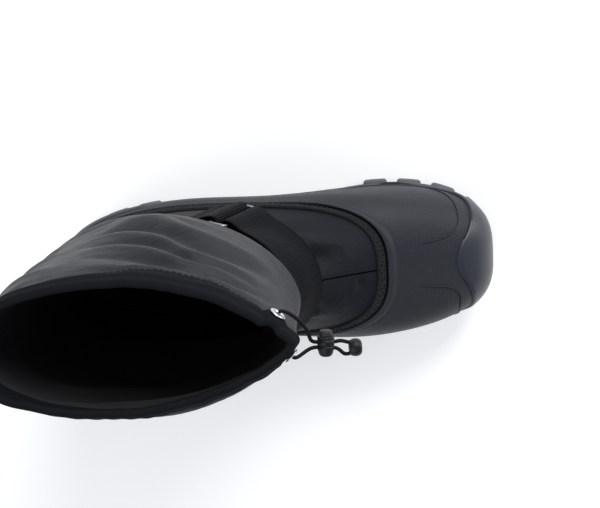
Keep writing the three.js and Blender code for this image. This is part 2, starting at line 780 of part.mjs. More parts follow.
function strand(name, side) {
  const mouth = new THREE.Vector3(0, 0, GAP + EYELET.proud + GAP).applyMatrix4(EYELETS[name]);
  const leave = new THREE.Vector3(0, 0, STRAND_LEAVE).applyMatrix4(EYELETS[name]);
  const before = fromLock(-LOCK.radius - 3.5, side * (LOCK_STRANDS + 0.3), 0.6);
  const enter = fromLock(-LOCK.radius - 2 * GAP, side * LOCK_STRANDS, 0.2);
  return cord([mouth, leave, ...STRAND_BENDS[name], before, enter], 8);
}

function loopStrand(side) {
  const atEnd = (x, y, z) => new THREE.Vector3(x, side * y, z).add(END_AT);
  const leave = fromLock(LOCK.radius + 2 * GAP, side * LOCK_STRANDS, -0.2);
  const belly = fromLock(LOCK.radius + 3.2, side * 3.4, -1.4);
  return cord([leave, belly, atEnd(-2.8, 4.4, 0.5), atEnd(-2 * GAP, END_STRANDS, 0.1)], 6);
}

// ---------------------------------------------------------------- materials and assembly

const finish = (color, roughness, metalness = 0) =>
  new THREE.MeshStandardMaterial({ color, roughness, metalness });

const MATERIALS = {
  shellRubber: finish(0x3c3e42, 0.55),
  bumperRubber: finish(0x44474c, 0.42),
  soleRubber: finish(0x4d4f52, 0.7),
  nylon: finish(0x23262c, 0.65),
  footbed: finish(0x2a2a2c, 0.9),
  binding: finish(0x1b1c1f, 0.85),
  webbing: finish(0x2c2c30, 0.8),
  metal: finish(0xb8bbc0, 0.3, 1),
  cord: finish(0x17181a, 0.8),
  plastic: finish(0x2b2c2f, 0.45),
  button: finish(0x6c6e72, 0.45),
};

const boot = new THREE.Group();

function add(name, geometry, material) {
  const mesh = new THREE.Mesh(geometry, material);
  mesh.name = name;
  boot.add(mesh);
}

const tabBar = RING_FROM_CREST + RING.bar + RING.gapLength;

add("outsole", outsole(), MATERIALS.soleRubber);
add("shell", shell(), MATERIALS.shellRubber);
add("toe_bumper", toeBumper(), MATERIALS.bumperRubber);
add("upper", upper(), MATERIALS.nylon);
add("insole", insole(), MATERIALS.footbed);
add("shell_binding", shellBinding(), MATERIALS.binding);
add(
  "instep_strap",
  webbing({ start: -86, barAt: RING_FROM_CREST, end: -62, steps: 15, roundEnd: true }),
  MATERIALS.webbing,
);
add("strap_ring", strapRing(), MATERIALS.metal);
add(
  "ring_tab",
  webbing({ start: tabBar + 22, barAt: tabBar, end: tabBar + 20, steps: 4, roundEnd: false }),
  MATERIALS.webbing,
);
for (const [name, seat] of Object.entries(EYELETS)) add(name, eyelet(seat), MATERIALS.metal);
add("cord_lock", cordLock(), MATERIALS.plastic);
add("cord_lock_button", cordLockButton(), MATERIALS.button);
add("cord_end", cordEnd(), MATERIALS.plastic);
add("drawcord_medial", strand("eyelet_medial", 1), MATERIALS.cord);
add("drawcord_lateral", strand("eyelet_lateral", -1), MATERIALS.cord);
add("drawcord_loop_medial", loopStrand(1), MATERIALS.cord);
add("drawcord_loop_lateral", loopStrand(-1), MATERIALS.cord);

// The origin is under the middle of the boot, on the floor, whatever hangs on the drawcord.
const body = new THREE.Box3();
for (const mesh of boot.children) {
  if (!mesh.name.startsWith("drawcord") && !mesh.name.startsWith("cord")) {
    body.expandByObject(mesh, true);
  }
}
const middle = body.getCenter(new THREE.Vector3());
boot.position.set(-middle.x, -middle.y, -body.min.z);

export default boot;
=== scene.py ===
"""The looks of a pull-on snow boot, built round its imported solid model.

Lengths in the tables are millimetres in the boot's own measures: x runs forward from the heel,
y towards the boot's inner side and z up from the floor. A place on the boot's outside is a pair:
`turn`, the way round it (0 back, 0.25 inner side, 0.5 toe, 0.75 outer side), and `level`, how
far up its rows of section loops (0 the sole's feather line, 5 the shell's edge, 16 the collar).
"""

import math
from collections import namedtuple

import bpy
import numpy as np
from mathutils import Matrix, Vector


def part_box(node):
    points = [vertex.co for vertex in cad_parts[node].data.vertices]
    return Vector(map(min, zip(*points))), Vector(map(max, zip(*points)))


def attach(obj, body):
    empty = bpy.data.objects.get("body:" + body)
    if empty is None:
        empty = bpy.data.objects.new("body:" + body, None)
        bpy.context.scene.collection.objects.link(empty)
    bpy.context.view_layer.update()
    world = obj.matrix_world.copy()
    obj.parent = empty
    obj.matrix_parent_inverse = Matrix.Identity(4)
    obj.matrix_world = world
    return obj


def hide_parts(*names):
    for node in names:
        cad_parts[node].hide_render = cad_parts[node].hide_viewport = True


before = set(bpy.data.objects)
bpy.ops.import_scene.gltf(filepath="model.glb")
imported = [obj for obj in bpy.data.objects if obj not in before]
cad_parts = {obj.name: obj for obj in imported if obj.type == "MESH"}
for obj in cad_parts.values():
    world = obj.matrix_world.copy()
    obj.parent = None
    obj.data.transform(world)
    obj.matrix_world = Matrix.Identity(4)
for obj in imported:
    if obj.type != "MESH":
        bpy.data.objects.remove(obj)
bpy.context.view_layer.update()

bl_info = {
    "name": "Snow Boot",
    "version": (1, 0, 0),
    "blender": (4, 5, 0),
    "location": "View3D > Sidebar > Snow Boot",
    "description": "Builds the cloth, rubber, webbing and fittings of a snow boot on its frame",
    "category": "Add Mesh",
}

MM = 0.001

# ---------------------------------------------------------------- the boot's outside

# One row a level. The heel, inner and outer columns are how much narrower than the half width the
# loop is there, as fractions. Lean and shift are the toe's and the whole loop's way to the inner
# side, and the powers say how square the back and front halves are (2 is an ellipse).
Level = namedtuple("Level", (
    "back_x", "back_z", "middle_z", "front_x", "front_z", "half_width",
    "heel", "inner", "outer", "lean", "shift", "back_power", "front_power",
))
LEVELS = np.array([
    (5, 22, 14, 303.5, 19, 49.4, 0.13, 0.22, 0.17, 2, 0, 3.0, 3.3),
    (3, 34, 26, 306.5, 32, 51.5, 0.09, 0.13, 0.15, 1.3, 0, 3.0, 3.3),
    (3, 48, 42, 300.5, 46, 52.5, 0.05, 0.09, 0.14, 0, 0, 2.9, 3.2),
    (5, 60, 56, 285.5, 58, 52.5, 0.02, 0.07, 0.14, -0.8, 0, 2.8, 3.1),
    (7, 70, 66, 261.5, 69, 52, 0, 0.05, 0.14, -0.8, 0, 2.7, 3.1),
    (9, 78, 74, 234, 80, 50, 0, 0.03, 0.14, -0.5, 0, 2.6, 3.0),
    (11, 93, 91, 209, 97, 44.5, 0, 0, 0.07, 0, 0, 2.6, 2.7),
    (12, 111, 107, 187, 115.5, 41.5, 0, 0, 0, 0, 0, 2.6, 2.25),
    (12, 127, 123, 176.5, 131.5, 41.5, 0, 0, 0, 0, 0, 2.5, 2.15),
    (11, 141, 138, 167.5, 146, 43.5, 0, 0, 0, 0, -0.4, 2.5, 2.1),
    (10.5, 152, 149, 170, 155, 48, 0, 0, 0, 0, -1, 2.4, 1.95),
    (10, 163, 161, 176, 164, 54, 0, 0, 0, 0, -1.5, 2.3, 1.78),
    (9, 177, 177, 178.5, 180, 54, 0, 0, 0, 0, -1.7, 2.3, 1.8),
    (6, 202, 203, 179, 206, 51.5, 0, 0, 0, 0, -2, 2.3, 1.8),
    (2, 235, 236, 180.5, 238, 47.5, 0, 0, 0, 0, -2.5, 2.3, 1.75),
    (-5, 260, 261, 183, 262, 42.5, 0, 0, 0, 0, -3, 2.2, 1.62),
    (-10, 275, 275, 184, 275, 40, 0, 0, 0, 0, -3, 2.2, 1.55),
])
WAIST_MIDDLE, WAIST_REACH = 152, 55
TOPLINE, COLLAR = 5, 16
LEVEL_STEPS = 24  # table rows between two levels
TURNS = 960  # table columns round the boot
LOOP_STEPS = 240  # steps along one side of a level's loop before they are evened out


def smooth(value, low, high):
    part = np.clip((np.asarray(value, float) - low) / (high - low), 0, 1)
    return part * part * (3 - 2 * part)


def bell(value, centre, spread):
    return np.exp(-(((np.asarray(value, float) - centre) / spread) ** 2))


def mix(a, b, part):
    return a + (b - a) * part


def unit(vectors):
    return vectors / np.maximum(np.linalg.norm(vectors, axis=-1, keepdims=True), 1e-9)


def run_along(line):
    """The length of a line up to each of its points."""
    return np.concatenate([[0], np.cumsum(np.linalg.norm(np.diff(line, axis=0), axis=1))])


def columns_at(want, run, line):
    """Each column of a line at wanted lengths along it."""
    return np.stack([np.interp(want, run, line[:, k]) for k in range(line.shape[1])], -1)


def level_row(level):
    """The level table's columns at a level between two rows."""
    top = len(LEVELS) - 1
    i = int(np.clip(math.floor(level), 0, top - 1))
    t = level - i
    before, a, b, after = (LEVELS[min(max(k, 0), top)] for k in (i - 1, i, i + 1, i + 2))
    slope_a = b - a if i == 0 else (b - before) / 2
    slope_b = b - a if i + 1 == top else (after - a) / 2
    bend = 3 * (b - a) - 2 * slope_a - slope_b
    return Level(*(a + t * (slope_a + t * (bend + t * (2 * (a - b) + slope_a + slope_b)))))


def loop_height(row, part):
    """Height at a part of the way from a loop's back to its front: a parabola through three heights."""
    back = row.back_z * (1 - part) * (1 - 2 * part)
    return back + 4 * row.middle_z * part * (1 - part) + row.front_z * part * (2 * part - 1)


def section_loop(level):
    """A level's loop round the boot, at even steps along its inner and outer sides."""
    row = level_row(level)
    along = -np.cos(np.pi * np.arange(LOOP_STEPS + 1) / LOOP_STEPS)
    power = np.where(along < 0, row.back_power, row.front_power)
    part = (along + 1) / 2
    full = np.clip(1 - np.abs(along) ** power, 0, None) ** (1 / power)
    x = mix(row.back_x, row.front_x, part)
    z = loop_height(row, part)
    sides = []
    for side, waist in ((1, row.inner), (-1, row.outer)):
        narrow = row.heel * (1 - smooth(part, 0.1, 0.55)) + waist * bell(x, WAIST_MIDDLE, WAIST_REACH)
        y = side * row.half_width * (1 - narrow) * full
        y = y + row.lean * smooth(part, 0.5, 0.95) * full + row.shift
        line = np.stack([x, y, z], -1)[::side]
        run = run_along(line)
        want = np.linspace(0, run[-1], TURNS // 2 + 1)[:-1]
        sides.append(columns_at(want, run, line))
    return np.concatenate(sides)


LEVEL_TABLE = np.arange(COLLAR * LEVEL_STEPS + 1) / LEVEL_STEPS
SURFACE = np.stack([section_loop(level) for level in LEVEL_TABLE])
FEATHER = level_row(0)


def facing(surface):
    """Outward directions of the table; level along the feather line."""
    across = np.roll(surface, -4, 1) - np.roll(surface, 4, 1)
    out = unit(np.cross(np.gradient(surface, axis=0), across))
    out[..., 2] *= smooth(LEVEL_TABLE, 0, 0.5)[:, None]
    return unit(out)


OUTWARD = facing(SURFACE)
RISE = np.concatenate([[0], np.cumsum(np.linalg.norm(np.diff(SURFACE, axis=0), axis=-1).mean(1))])
GIRTH = np.linalg.norm(np.diff(SURFACE, axis=1, append=SURFACE[:, :1]), axis=-1).sum(1)


def look_up(table, turn, level):
    """A table's values at turns and levels between its points."""
    turn, level = np.broadcast_arrays(np.asarray(turn, float), np.asarray(level, float))
    column = (turn % 1) * TURNS
    row = np.clip(level, 0, COLLAR) * LEVEL_STEPS
    i = np.floor(column).astype(int)
    j = np.minimum(np.floor(row).astype(int), COLLAR * LEVEL_STEPS - 1)
    a, b = (column - i)[..., None], (row - j)[..., None]
    i, after = i % TURNS, (i + 1) % TURNS
    low = mix(table[j, i], table[j, after], a)
    return mix(low, mix(table[j + 1, i], table[j + 1, after], a), b)


def outward(turn, level):
    """The way straight out of the boot's outside."""
    return unit(look_up(OUTWARD, turn, level))


def skin(turn, level, offset=0.0):
    """Places on the boot's outside, moved off it by an offset in millimetres."""
    return look_up(SURFACE, turn, level) + outward(turn, level) * np.asarray(offset)[..., None]


def lay_of(turn, level):
    """Millimetres along the cloth: round the boot and up it."""
    turn, level = np.broadcast_arrays(np.asarray(turn, float), np.asarray(level, float))
    up = np.interp(level, LEVEL_TABLE, RISE)
    round_way = (turn - 0.5) * np.interp(level, LEVEL_TABLE, GIRTH)
    return np.stack([round_way, up, np.zeros_like(up)], -1)


def footbed(x):
    """The height of the feather line, where upper and sole meet."""
    return loop_height(FEATHER, (np.asarray(x) - FEATHER.back_x) / (FEATHER.front_x - FEATHER.back_x))


UPPER_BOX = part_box("upper")
OFFSET = np.array([
    UPPER_BOX[0].x / MM - SURFACE[..., 0].min(),
    UPPER_BOX[1].y / MM - SURFACE[..., 1].max(),
    0.0,
])


def metres(points):
    """Boot measures to the frame's metres."""
    return (np.asarray(points, float) + OFFSET) * MM


def seat_of(along, across, up, at):
    """A place with its own three directions, as a 4 x 4 matrix."""
    seat = np.eye(4)
    seat[:3] = np.stack([along, across, up, at], -1)
    return seat


def seated(points, seat):
    return points @ seat[:3, :3].T + seat[:3, 3]


# ---------------------------------------------------------------- meshes

def lattice(rows, columns, wrap_rows=False, wrap_columns=True):
    """Quads between the points of a grid."""
    r = np.arange(rows if wrap_rows else rows - 1)[:, None]
    c = np.arange(columns if wrap_columns else columns - 1)[None]
    r2, c2 = (r + 1) % rows, (c + 1) % columns
    corners = [r * columns + c, r * columns + c2, r2 * columns + c2, r2 * columns + c]
    return np.stack(corners, -1).reshape(-1, 4).tolist()


class Form:
    """Points, faces and cloth coordinates of a closed body, or of several joined."""

    def __init__(self, points, faces, lay=None, finish=None):
        self.points = np.asarray(points, float).reshape(-1, 3)
        self.faces = faces
        self.lay = np.zeros_like(self.points) if lay is None else np.asarray(lay, float).reshape(-1, 3)
        self.finish = finish if finish is not None else [0] * len(faces)
        if self.volume() < 0:
            self.faces = [face[::-1] for face in self.faces]

    @classmethod
    def ready(cls, points, faces, lay, finish):
        """A form whose faces are known to turn outwards."""
        form = cls.__new__(cls)
        form.points, form.faces, form.lay, form.finish = points, faces, lay, finish
        return form

    def volume(self):
        """Six times the volume: negative when the faces turn inwards."""
        total = 0.0
        for face in self.faces:
            a = self.points[face[0]]
            for k in range(1, len(face) - 1):
                b, c = self.points[face[k]], self.points[face[k + 1]]
                total += (
                    a[0] * (b[1] * c[2] - b[2] * c[1])
                    + a[1] * (b[2] * c[0] - b[0] * c[2])
                    + a[2] * (b[0] * c[1] - b[1] * c[0])
                )
        return total


def joined(forms):
    points, faces, lay, finish = [], [], [], []
    base = 0
    for form in forms:
        points.append(form.points)
        lay.append(form.lay)
        faces += [[k + base for k in face] for face in form.faces]
        finish += form.finish
        base += len(form.points)
    return Form.ready(np.concatenate(points), faces, np.concatenate(lay), finish)


def ring_form(grid, lay=None, finish_rows=None):
    """A body whose section loops close on themselves both ways, like a collar."""
    rows, columns = grid.shape[:2]
    faces = lattice(rows, columns, wrap_rows=True)
    finish = None if finish_rows is None else np.repeat(finish_rows, columns).tolist()
    return Form(grid, faces, lay, finish)


def bar_form(grid, lay=None):
    """A body of closed section loops in a row, with both ends closed."""
    rows, columns = grid.shape[:2]
    faces = lattice(rows, columns)
    points = np.concatenate([grid.reshape(-1, 3), grid[0].mean(0)[None], grid[-1].mean(0)[None]])
    first, last = rows * columns, rows * columns + 1
    for k in range(columns):
        after = (k + 1) % columns
        faces.append([first, after, k])
        faces.append([last, (rows - 1) * columns + k, (rows - 1) * columns + after])
    if lay is not None:
        lay = np.concatenate([lay.reshape(-1, 3), lay[0].mean(0)[None], lay[-1].mean(0)[None]])
    return Form(points, faces, lay)


def lathe(profile, sides, seat):
    """A turned body from (radius, height) rows; closed on its axis, or a ring if it has a hole."""
    profile = np.array(profile, float)
    radius, height = profile[:, :1], profile[:, 1:]
    angle = 2 * np.pi * np.arange(sides) / sides
    grid = np.stack([radius * np.cos(angle), radius * np.sin(angle), np.repeat(height, sides, 1)], -1)
    holed = radius.min() > 0.05 and np.allclose(profile[0], profile[-1])
    lay = np.stack(np.broadcast_arrays(angle[None] * radius.mean(), height, 0.0), -1)
    grid = seated(grid, seat)
    return ring_form(grid[:-1], lay[:-1]) if holed else bar_form(grid, lay)


def frame_along(line, up):
    """Side and up directions along a line that keep close to the given up direction."""
    ahead = unit(np.gradient(line, axis=0))
    side = unit(np.cross(ahead, np.broadcast_to(up, line.shape)))
    return side, unit(np.cross(side, ahead))


def swept(line, up, section, scale=None):
    """A closed section (pairs of side and up) carried along a line."""
    side, rise = frame_along(line, up)
    section = np.asarray(section, float)
    size = np.ones(len(line)) if scale is None else np.asarray(scale)
    grid = (
        line[:, None]
        + side[:, None] * (section[None, :, 0] * size[:, None])[..., None]
        + rise[:, None] * (section[None, :, 1] * size[:, None])[..., None]
    )
    about = np.arange(len(section)) / len(section)
    lay = np.stack(np.broadcast_arrays(run_along(line)[:, None], about[None] * 2 * np.pi, 0.0), -1)
    return bar_form(grid, lay)


def circle(radius, sides):
    angle = 2 * np.pi * np.arange(sides) / sides
    return np.stack([radius * np.cos(angle), radius * np.sin(angle)], -1)


def rounded(half_width, half_height, radius, steps=4, flats=1):
    """A rounded rectangle's outline, with extra points along its long sides."""
    points = []
    for sx, sy, start in ((1, 1, 0), (-1, 1, 90), (-1, -1, 180), (1, -1, 270)):
        for k in range(steps + 1):
            angle = math.radians(start + 90 * k / steps)
            points.append((
                sx * (half_width - radius) + radius * math.cos(angle),
                sy * (half_height - radius) + radius * math.sin(angle),
            ))
        if start in (0, 180):
            y = half_height if start == 0 else -half_height
            for k in range(1, flats):
                x = mix(sx * (half_width - radius), -sx * (half_width - radius), k / flats)
                points.append((x, y))
    return np.array(points)


def even(line, spacing):
    """A line's points at even spacing, with whatever other columns they have."""
    run = run_along(line)
    count = max(2, int(round(run[-1] / spacing)) + 1)
    return columns_at(np.linspace(0, run[-1], count), run, line)


def curve_through(points, steps=8):
    """A smooth line through points (Catmull-Rom)."""
    points = np.asarray(points, float)
    ends = np.concatenate([[2 * points[0] - points[1]], points, [2 * points[-1] - points[-2]]])
    line = []
    for k in range(len(points) - 1):
        a, b, c, d = ends[k : k + 4]
        square, cube = 2 * a - 5 * b + 4 * c - d, 3 * b - a - 3 * c + d
        for t in np.arange(steps) / steps:
            line.append(0.5 * (2 * b + (c - a) * t + square * t**2 + cube * t**3))
    line.append(points[-1])
    return np.array(line)


def trail(nodes, offset=0.0, steps=10):
    """A smooth line over the boot's outside through (turn, level) nodes: its points and normals."""
    way = curve_through(nodes, steps)
    return skin(way[:, 0], way[:, 1], offset), outward(way[:, 0], way[:, 1])


def threads(starts, ends, normals, radius=0.28, rise=0.3):
    """A stitch from each start to each end, humped off the cloth, as one joined form."""
    starts, ends, normals = (np.asarray(a, float) for a in (starts, ends, normals))
    count, sides = len(starts), 6
    ahead = unit(ends - starts)
    side = unit(np.cross(ahead, normals))
    parts = np.array([0, 0.12, 0.5, 0.88, 1.0])
    heights = np.array([-0.35, 0.55, 1, 0.55, -0.35]) * rise
    girth = np.array([0.55, 0.95, 1, 0.95, 0.55]) * radius
    centre = mix(starts[:, None], ends[:, None], parts[None, :, None])
    centre = centre + normals[:, None] * heights[None, :, None]
    angle = 2 * np.pi * np.arange(sides) / sides
    ring = (
        side[:, None, None] * np.cos(angle)[None, None, :, None]
        + normals[:, None, None] * np.sin(angle)[None, None, :, None]
    )
    points = centre[:, :, None] + ring * girth[None, :, None, None]
    one = lattice(len(parts), sides)
    one += [list(range(sides))[::-1], [(len(parts) - 1) * sides + k for k in range(sides)]]
    # the first stitch settles which way the faces of all turn
    probe = Form(points[0], one)
    size = len(parts) * sides
    faces = [[k + base for k in face] for base in range(0, count * size, size) for face in probe.faces]
    points = points.reshape(-1, 3)
    return Form.ready(points, faces, np.zeros_like(points), [0] * len(faces))


def stitch_row(nodes, offset, length=2.6, gap=0.9, radius=0.28, closed=False, surface=skin):
    """A row of stitches along a trail over the boot."""
    way = np.asarray(nodes, float) if closed else curve_through(nodes, 24)
    line = surface(way[:, 0], way[:, 1], offset)
    # three columns for the place and three for the way out of the cloth
    both = even(np.concatenate([line, outward(way[:, 0], way[:, 1])], 1), 0.5)
    run = run_along(both[:, :3])
    count = max(1, int(run[-1] / (length + gap)))
    pitch = run[-1] / count
    starts = columns_at(np.arange(count) * pitch, run, both)
    ends = columns_at(np.arange(count) * pitch + pitch - gap, run, both)
    return threads(starts[:, :3], ends[:, :3], unit(starts[:, 3:]), radius)


def put(name, form, finishes, stands_for=(), flat_angle=None):
    """Makes a piece from a form, in the frame, riding on the boot's one body."""
    mesh = bpy.data.meshes.new(name)
    mesh.from_pydata(metres(form.points).tolist(), [], form.faces)
    for finish in finishes if isinstance(finishes, list) else [finishes]:
        mesh.materials.append(finish)
    mesh.polygons.foreach_set("material_index", np.array(form.finish, np.int32))
    mesh.shade_smooth()
    if flat_angle is not None:
        mesh.set_sharp_from_angle(angle=math.radians(flat_angle))
    lay = mesh.attributes.new("lay", "FLOAT_VECTOR", "POINT")
    lay.data.foreach_set("vector", form.lay.astype(np.float32).ravel())
    mesh.update()
    piece = bpy.data.objects.new(name, mesh)
    bpy.context.scene.collection.objects.link(piece)
    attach(piece, "root")
    if stands_for:
        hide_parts(*stands_for)
    return piece


# ---------------------------------------------------------------- finishes

class Wire:
    """A shader value that Python arithmetic can be done with."""

    def __init__(self, finish, socket):
        self.finish, self.socket = finish, socket

    def math(self, operation, *values):
        return self.finish.node("ShaderNodeMath", {"operation": operation}, dict(enumerate(values)))

    def __add__(self, other):
        return self.math("ADD", self, other)

    def __sub__(self, other):
        return self.math("SUBTRACT", self, other)

    def __rsub__(self, other):
        return self.math("SUBTRACT", other, self)

    def __mul__(self, other):
        return self.math("MULTIPLY", self, other)

    def __abs__(self):
        return self.math("ABSOLUTE", self)

    __radd__, __rmul__ = __add__, __mul__

    def sin(self):
        return self.math("SINE", self)

    def between(self, low, high):
        """0 below low, 1 above high, smooth between."""
        return self.finish.node(
            "ShaderNodeMapRange",
            {"interpolation_type": "SMOOTHSTEP"},
            {"Value": self, "From Min": low, "From Max": high},
        )


class Finish:
    """A procedural material in the making."""

    def __init__(self, name):
        self.material = bpy.data.materials.new(name)
        self.material.use_nodes = True
        self.tree = self.material.node_tree
        self.tree.nodes.clear()

    def node(self, kind, settings=None, inputs=None, output=0):
        made = self.tree.nodes.new(kind)
        for key, value in (settings or {}).items():
            setattr(made, key, value)
        for key, value in (inputs or {}).items():
            if isinstance(value, Wire):
                self.tree.links.new(value.socket, made.inputs[key])
            else:
                made.inputs[key].default_value = value
        return Wire(self, made.outputs[output])

    def parts(self, vector):
        """A vector's x, y and z."""
        split = self.node("ShaderNodeSeparateXYZ", None, {0: vector}).socket.node
        return [Wire(self, socket) for socket in split.outputs]

    def lay(self):
        """Millimetres along the cloth, as a vector."""
        return self.node("ShaderNodeAttribute", {"attribute_name": "lay"}, None, "Vector")

    def place(self):
        """The place in the frame, in millimetres."""
        where = self.node("ShaderNodeTexCoord", None, None, "Object")
        return self.node("ShaderNodeVectorMath", {"operation": "SCALE"}, {0: where, "Scale": 1 / MM})

    def normal_parts(self):
        return self.parts(self.node("ShaderNodeTexCoord", None, None, "Normal"))

    def noise(self, vector, size, detail=3.0, roughness=0.5):
        """Noise from 0 to 1 with features of about a size in millimetres."""
        return self.node(
            "ShaderNodeTexNoise", None,
            {"Vector": vector, "Scale": 1.0 / size, "Detail": detail, "Roughness": roughness},
        )

    def stretched(self, vector, x, y, z):
        return self.node("ShaderNodeVectorMath", {"operation": "MULTIPLY"}, {0: vector, 1: (x, y, z)})

    def shade(self, part, a, b):
        """A colour between two."""
        return self.node("ShaderNodeMix", {"data_type": "RGBA"}, {0: part, 6: a, 7: b}, 2)

    def bump(self, height, depth_mm, strength=1.0, under=None):
        inputs = {"Height": height, "Distance": depth_mm * MM, "Strength": strength}
        if under is not None:
            inputs["Normal"] = under
        return self.node("ShaderNodeBump", None, inputs)

    def surface(self, colour, roughness, normal=None, **constants):
        inputs = {"Base Color": colour, "Roughness": roughness}
        if normal is not None:
            inputs["Normal"] = normal
        inputs.update({key.replace("_", " "): value for key, value in constants.items()})
        shader = self.node("ShaderNodeBsdfPrincipled", None, inputs)
        out = self.tree.nodes.new("ShaderNodeOutputMaterial")
        self.tree.links.new(shader.socket, out.inputs[0])
        return self.material


def tone(colour, times=1.0):
    return (colour[0] * times, colour[1] * times, colour[2] * times, 1.0)


def weave(finish, vector, pitch):
    """Over-and-under threads at a pitch in millimetres, 0 between threads and 1 on top."""
    u, v, _ = finish.parts(vector)
    a = (u * (math.pi / pitch)).sin()
    b = (v * (math.pi / pitch)).sin()
    over = (a * b).between(-0.12, 0.12)
    return abs(a) * over + abs(b) * (1 - over)


def nylon_cloth(name, colour, sheen=0.05, roughness=0.5, gleam=0.24):
    """Thin coated nylon: a fine weave, a crinkle and soft uneven gloss."""
    f = Finish(name)
    lay = f.lay()
    crinkle = f.noise(f.stretched(lay, 1, 2.2, 1), 9, 4, 0.55)
    fine = f.noise(lay, 2.2, 2)
    broad = f.noise(lay, 45, 2)
    threads_up = weave(f, lay, 0.62)
    normal = f.bump(threads_up, 0.05, 0.6, f.bump(crinkle + fine * 0.25, 0.9, 0.55))
    colour_part = broad * 0.5 + crinkle * 0.5
    base = f.shade(colour_part, tone(colour, 0.8), tone(colour, 1.25))
    gloss = (crinkle - 0.5) * 0.16 + (1 - threads_up) * 0.08 + roughness
    return f.surface(base, gloss, normal, Sheen_Weight=sheen, Sheen_Roughness=0.45, Specular_IOR_Level=gleam)


def lining_cloth(name, colour):
    f = Finish(name)
    lay = f.lay()
    pile = f.noise(lay, 1.3, 3, 0.7)
    soft = f.noise(lay, 22, 2)
    base = f.shade(soft * 0.6 + pile * 0.4, tone(colour, 0.55), tone(colour, 1.3))
    normal = f.bump(pile, 0.35, 0.5, f.bump(soft, 2.0, 0.4))
    return f.surface(base, pile * 0.1 + 0.88, normal, Sheen_Weight=0.03, Specular_IOR_Level=0.08)


def heavy_weave(name, colour, pitch):
    """Coarse ballistic cloth: plump bundles, with painted shade in the gaps between them and painted
    highlight on their tops.
    """
    f = Finish(name)
    lay = f.lay()
    wander = f.noise(lay, 3.5, 2)
    bundles = weave(f, lay, pitch)
    fibre = f.noise(f.stretched(lay, 1, 5, 1), 0.6, 2)
    height = bundles + fibre * 0.25
    # painted shade and highlight: the colour follows the bundles, darker in the gaps and lighter on the tops,
    # with a little tone that wanders at random
    base = f.shade(bundles.between(0.15, 0.85) * 0.75 + wander * 0.25, tone(colour, 0.35), tone(colour, 1.45))
    normal = f.bump(height, 0.32, 0.9)
    return f.surface(base, 0.78 - bundles * 0.16, normal, Sheen_Weight=0.04, Specular_IOR_Level=0.2)


def ribbed_webbing(name, colour, pitch=1.5):
    """Webbing with ribs across its width and a smooth selvedge."""
    f = Finish(name)
    lay = f.lay()
    u, v, _ = f.parts(lay)
    rib = abs((u * (math.pi / pitch)).sin())
    cross = abs((v * (math.pi / 1.9)).sin())
    edge = abs(v).between(16.6, 17.6)
    speckle = f.noise(lay, 0.9, 2)
    height = (rib * 0.7 + cross * 0.3) * (1 - edge * 0.6) + speckle * 0.3
    # painted shade and highlight: the colour follows the ribs' height, darker in the hollows and lighter on
    # the tops
    base = f.shade(height.between(0.3, 1.05), tone(colour, 0.15), tone(colour, 1.5))
    normal = f.bump(height, 0.5, 1.0)
    return f.surface(base, 0.74 - rib * 0.12, normal, Sheen_Weight=0.02, Specular_IOR_Level=0.05)


def moulded_rubber(name, colour, roughness, grid_pitch=0.0, warm_light_paint=0.0, gleam=0.32):
    """Satin rubber with faint clouding and scuffs, and where wanted a fine moulded grid."""
    f = Finish(name)
    where = f.place()
    cloud = f.noise(where, 60, 3)
    grain = f.noise(where, 1.1, 2, 0.6)
    scuff = f.noise(f.stretched(where, 0.35, 1, 1), 7, 5, 0.65).between(0.62, 0.74)
    height = grain * 0.12
    base = f.shade(cloud, tone(colour, 0.86), tone(colour, 1.14))
    if grid_pitch:
        lines = None
        for along, facing_way in zip(f.parts(where), f.normal_parts()):
            groove = abs((along * (math.pi / grid_pitch)).sin()).between(0.1, 0.75)
            kept = 1 - (1 - groove) * (1 - abs(facing_way).between(0.45, 0.9))
            lines = kept if lines is None else lines * kept
        height = height + lines
        # painted shade: the grid's grooves are darkened in colour as well as sunk
        base = f.shade(lines, tone(colour, 0.25), base)
    if warm_light_paint:
        # painted light: a warmer tint towards the outer side, which stands in for the warmer light that falls
        # on that side
        _, y, _ = f.parts(where)
        tint = (colour[0] * 1.15, colour[1] * 1.05, colour[2] * 0.85, 1)
        base = f.shade(y.between(10, -45) * warm_light_paint, base, tint)
    normal = f.bump(height, 0.14 if grid_pitch else 0.1, 0.8)
    gloss = (cloud - 0.5) * 0.12 + scuff * 0.16 + roughness
    return f.surface(base, gloss, normal, Specular_IOR_Level=gleam)


def plain_metal(name, colour):
    f = Finish(name)
    where = f.place()
    brushed = f.noise(f.stretched(where, 1, 1, 6), 1.2, 3, 0.6)
    spots = f.noise(where, 3, 3).between(0.6, 0.75)
    base = f.shade(spots * 0.5, tone(colour), tone(colour, 0.6))
    return f.surface(base, brushed * 0.14 + spots * 0.15 + 0.2, f.bump(brushed, 0.03, 0.5), Metallic=1.0)


def moulded_plastic(name, colour, roughness):
    f = Finish(name)
    where = f.place()
    grain = f.noise(where, 0.5, 2)
    cloud = f.noise(where, 7, 3)
    base = f.shade(cloud, tone(colour, 0.8), tone(colour, 1.2))
    return f.surface(base, cloud * 0.14 + roughness, f.bump(grain, 0.06, 0.6), Specular_IOR_Level=0.22)


def braided_cord(name, colour):
    """Strands that wind both ways round a cord; lay is millimetres along and the angle about."""
    f = Finish(name)
    along, about, _ = f.parts(f.lay())
    left = abs((along * 1.9 + about * 2.5).sin())
    right = abs((along * 1.9 - about * 2.5).sin())
    braid = f.node("ShaderNodeMath", {"operation": "MAXIMUM"}, {0: left, 1: right})
    # painted shade and highlight: the colour follows the braid, darker between the strands and lighter on
    # them
    base = f.shade(braid, tone(colour, 0.4), tone(colour, 1.4))
    normal = f.bump(braid, 0.18, 0.9)
    return f.surface(base, 0.7 - braid * 0.1, normal, Sheen_Weight=0.02, Specular_IOR_Level=0.12)


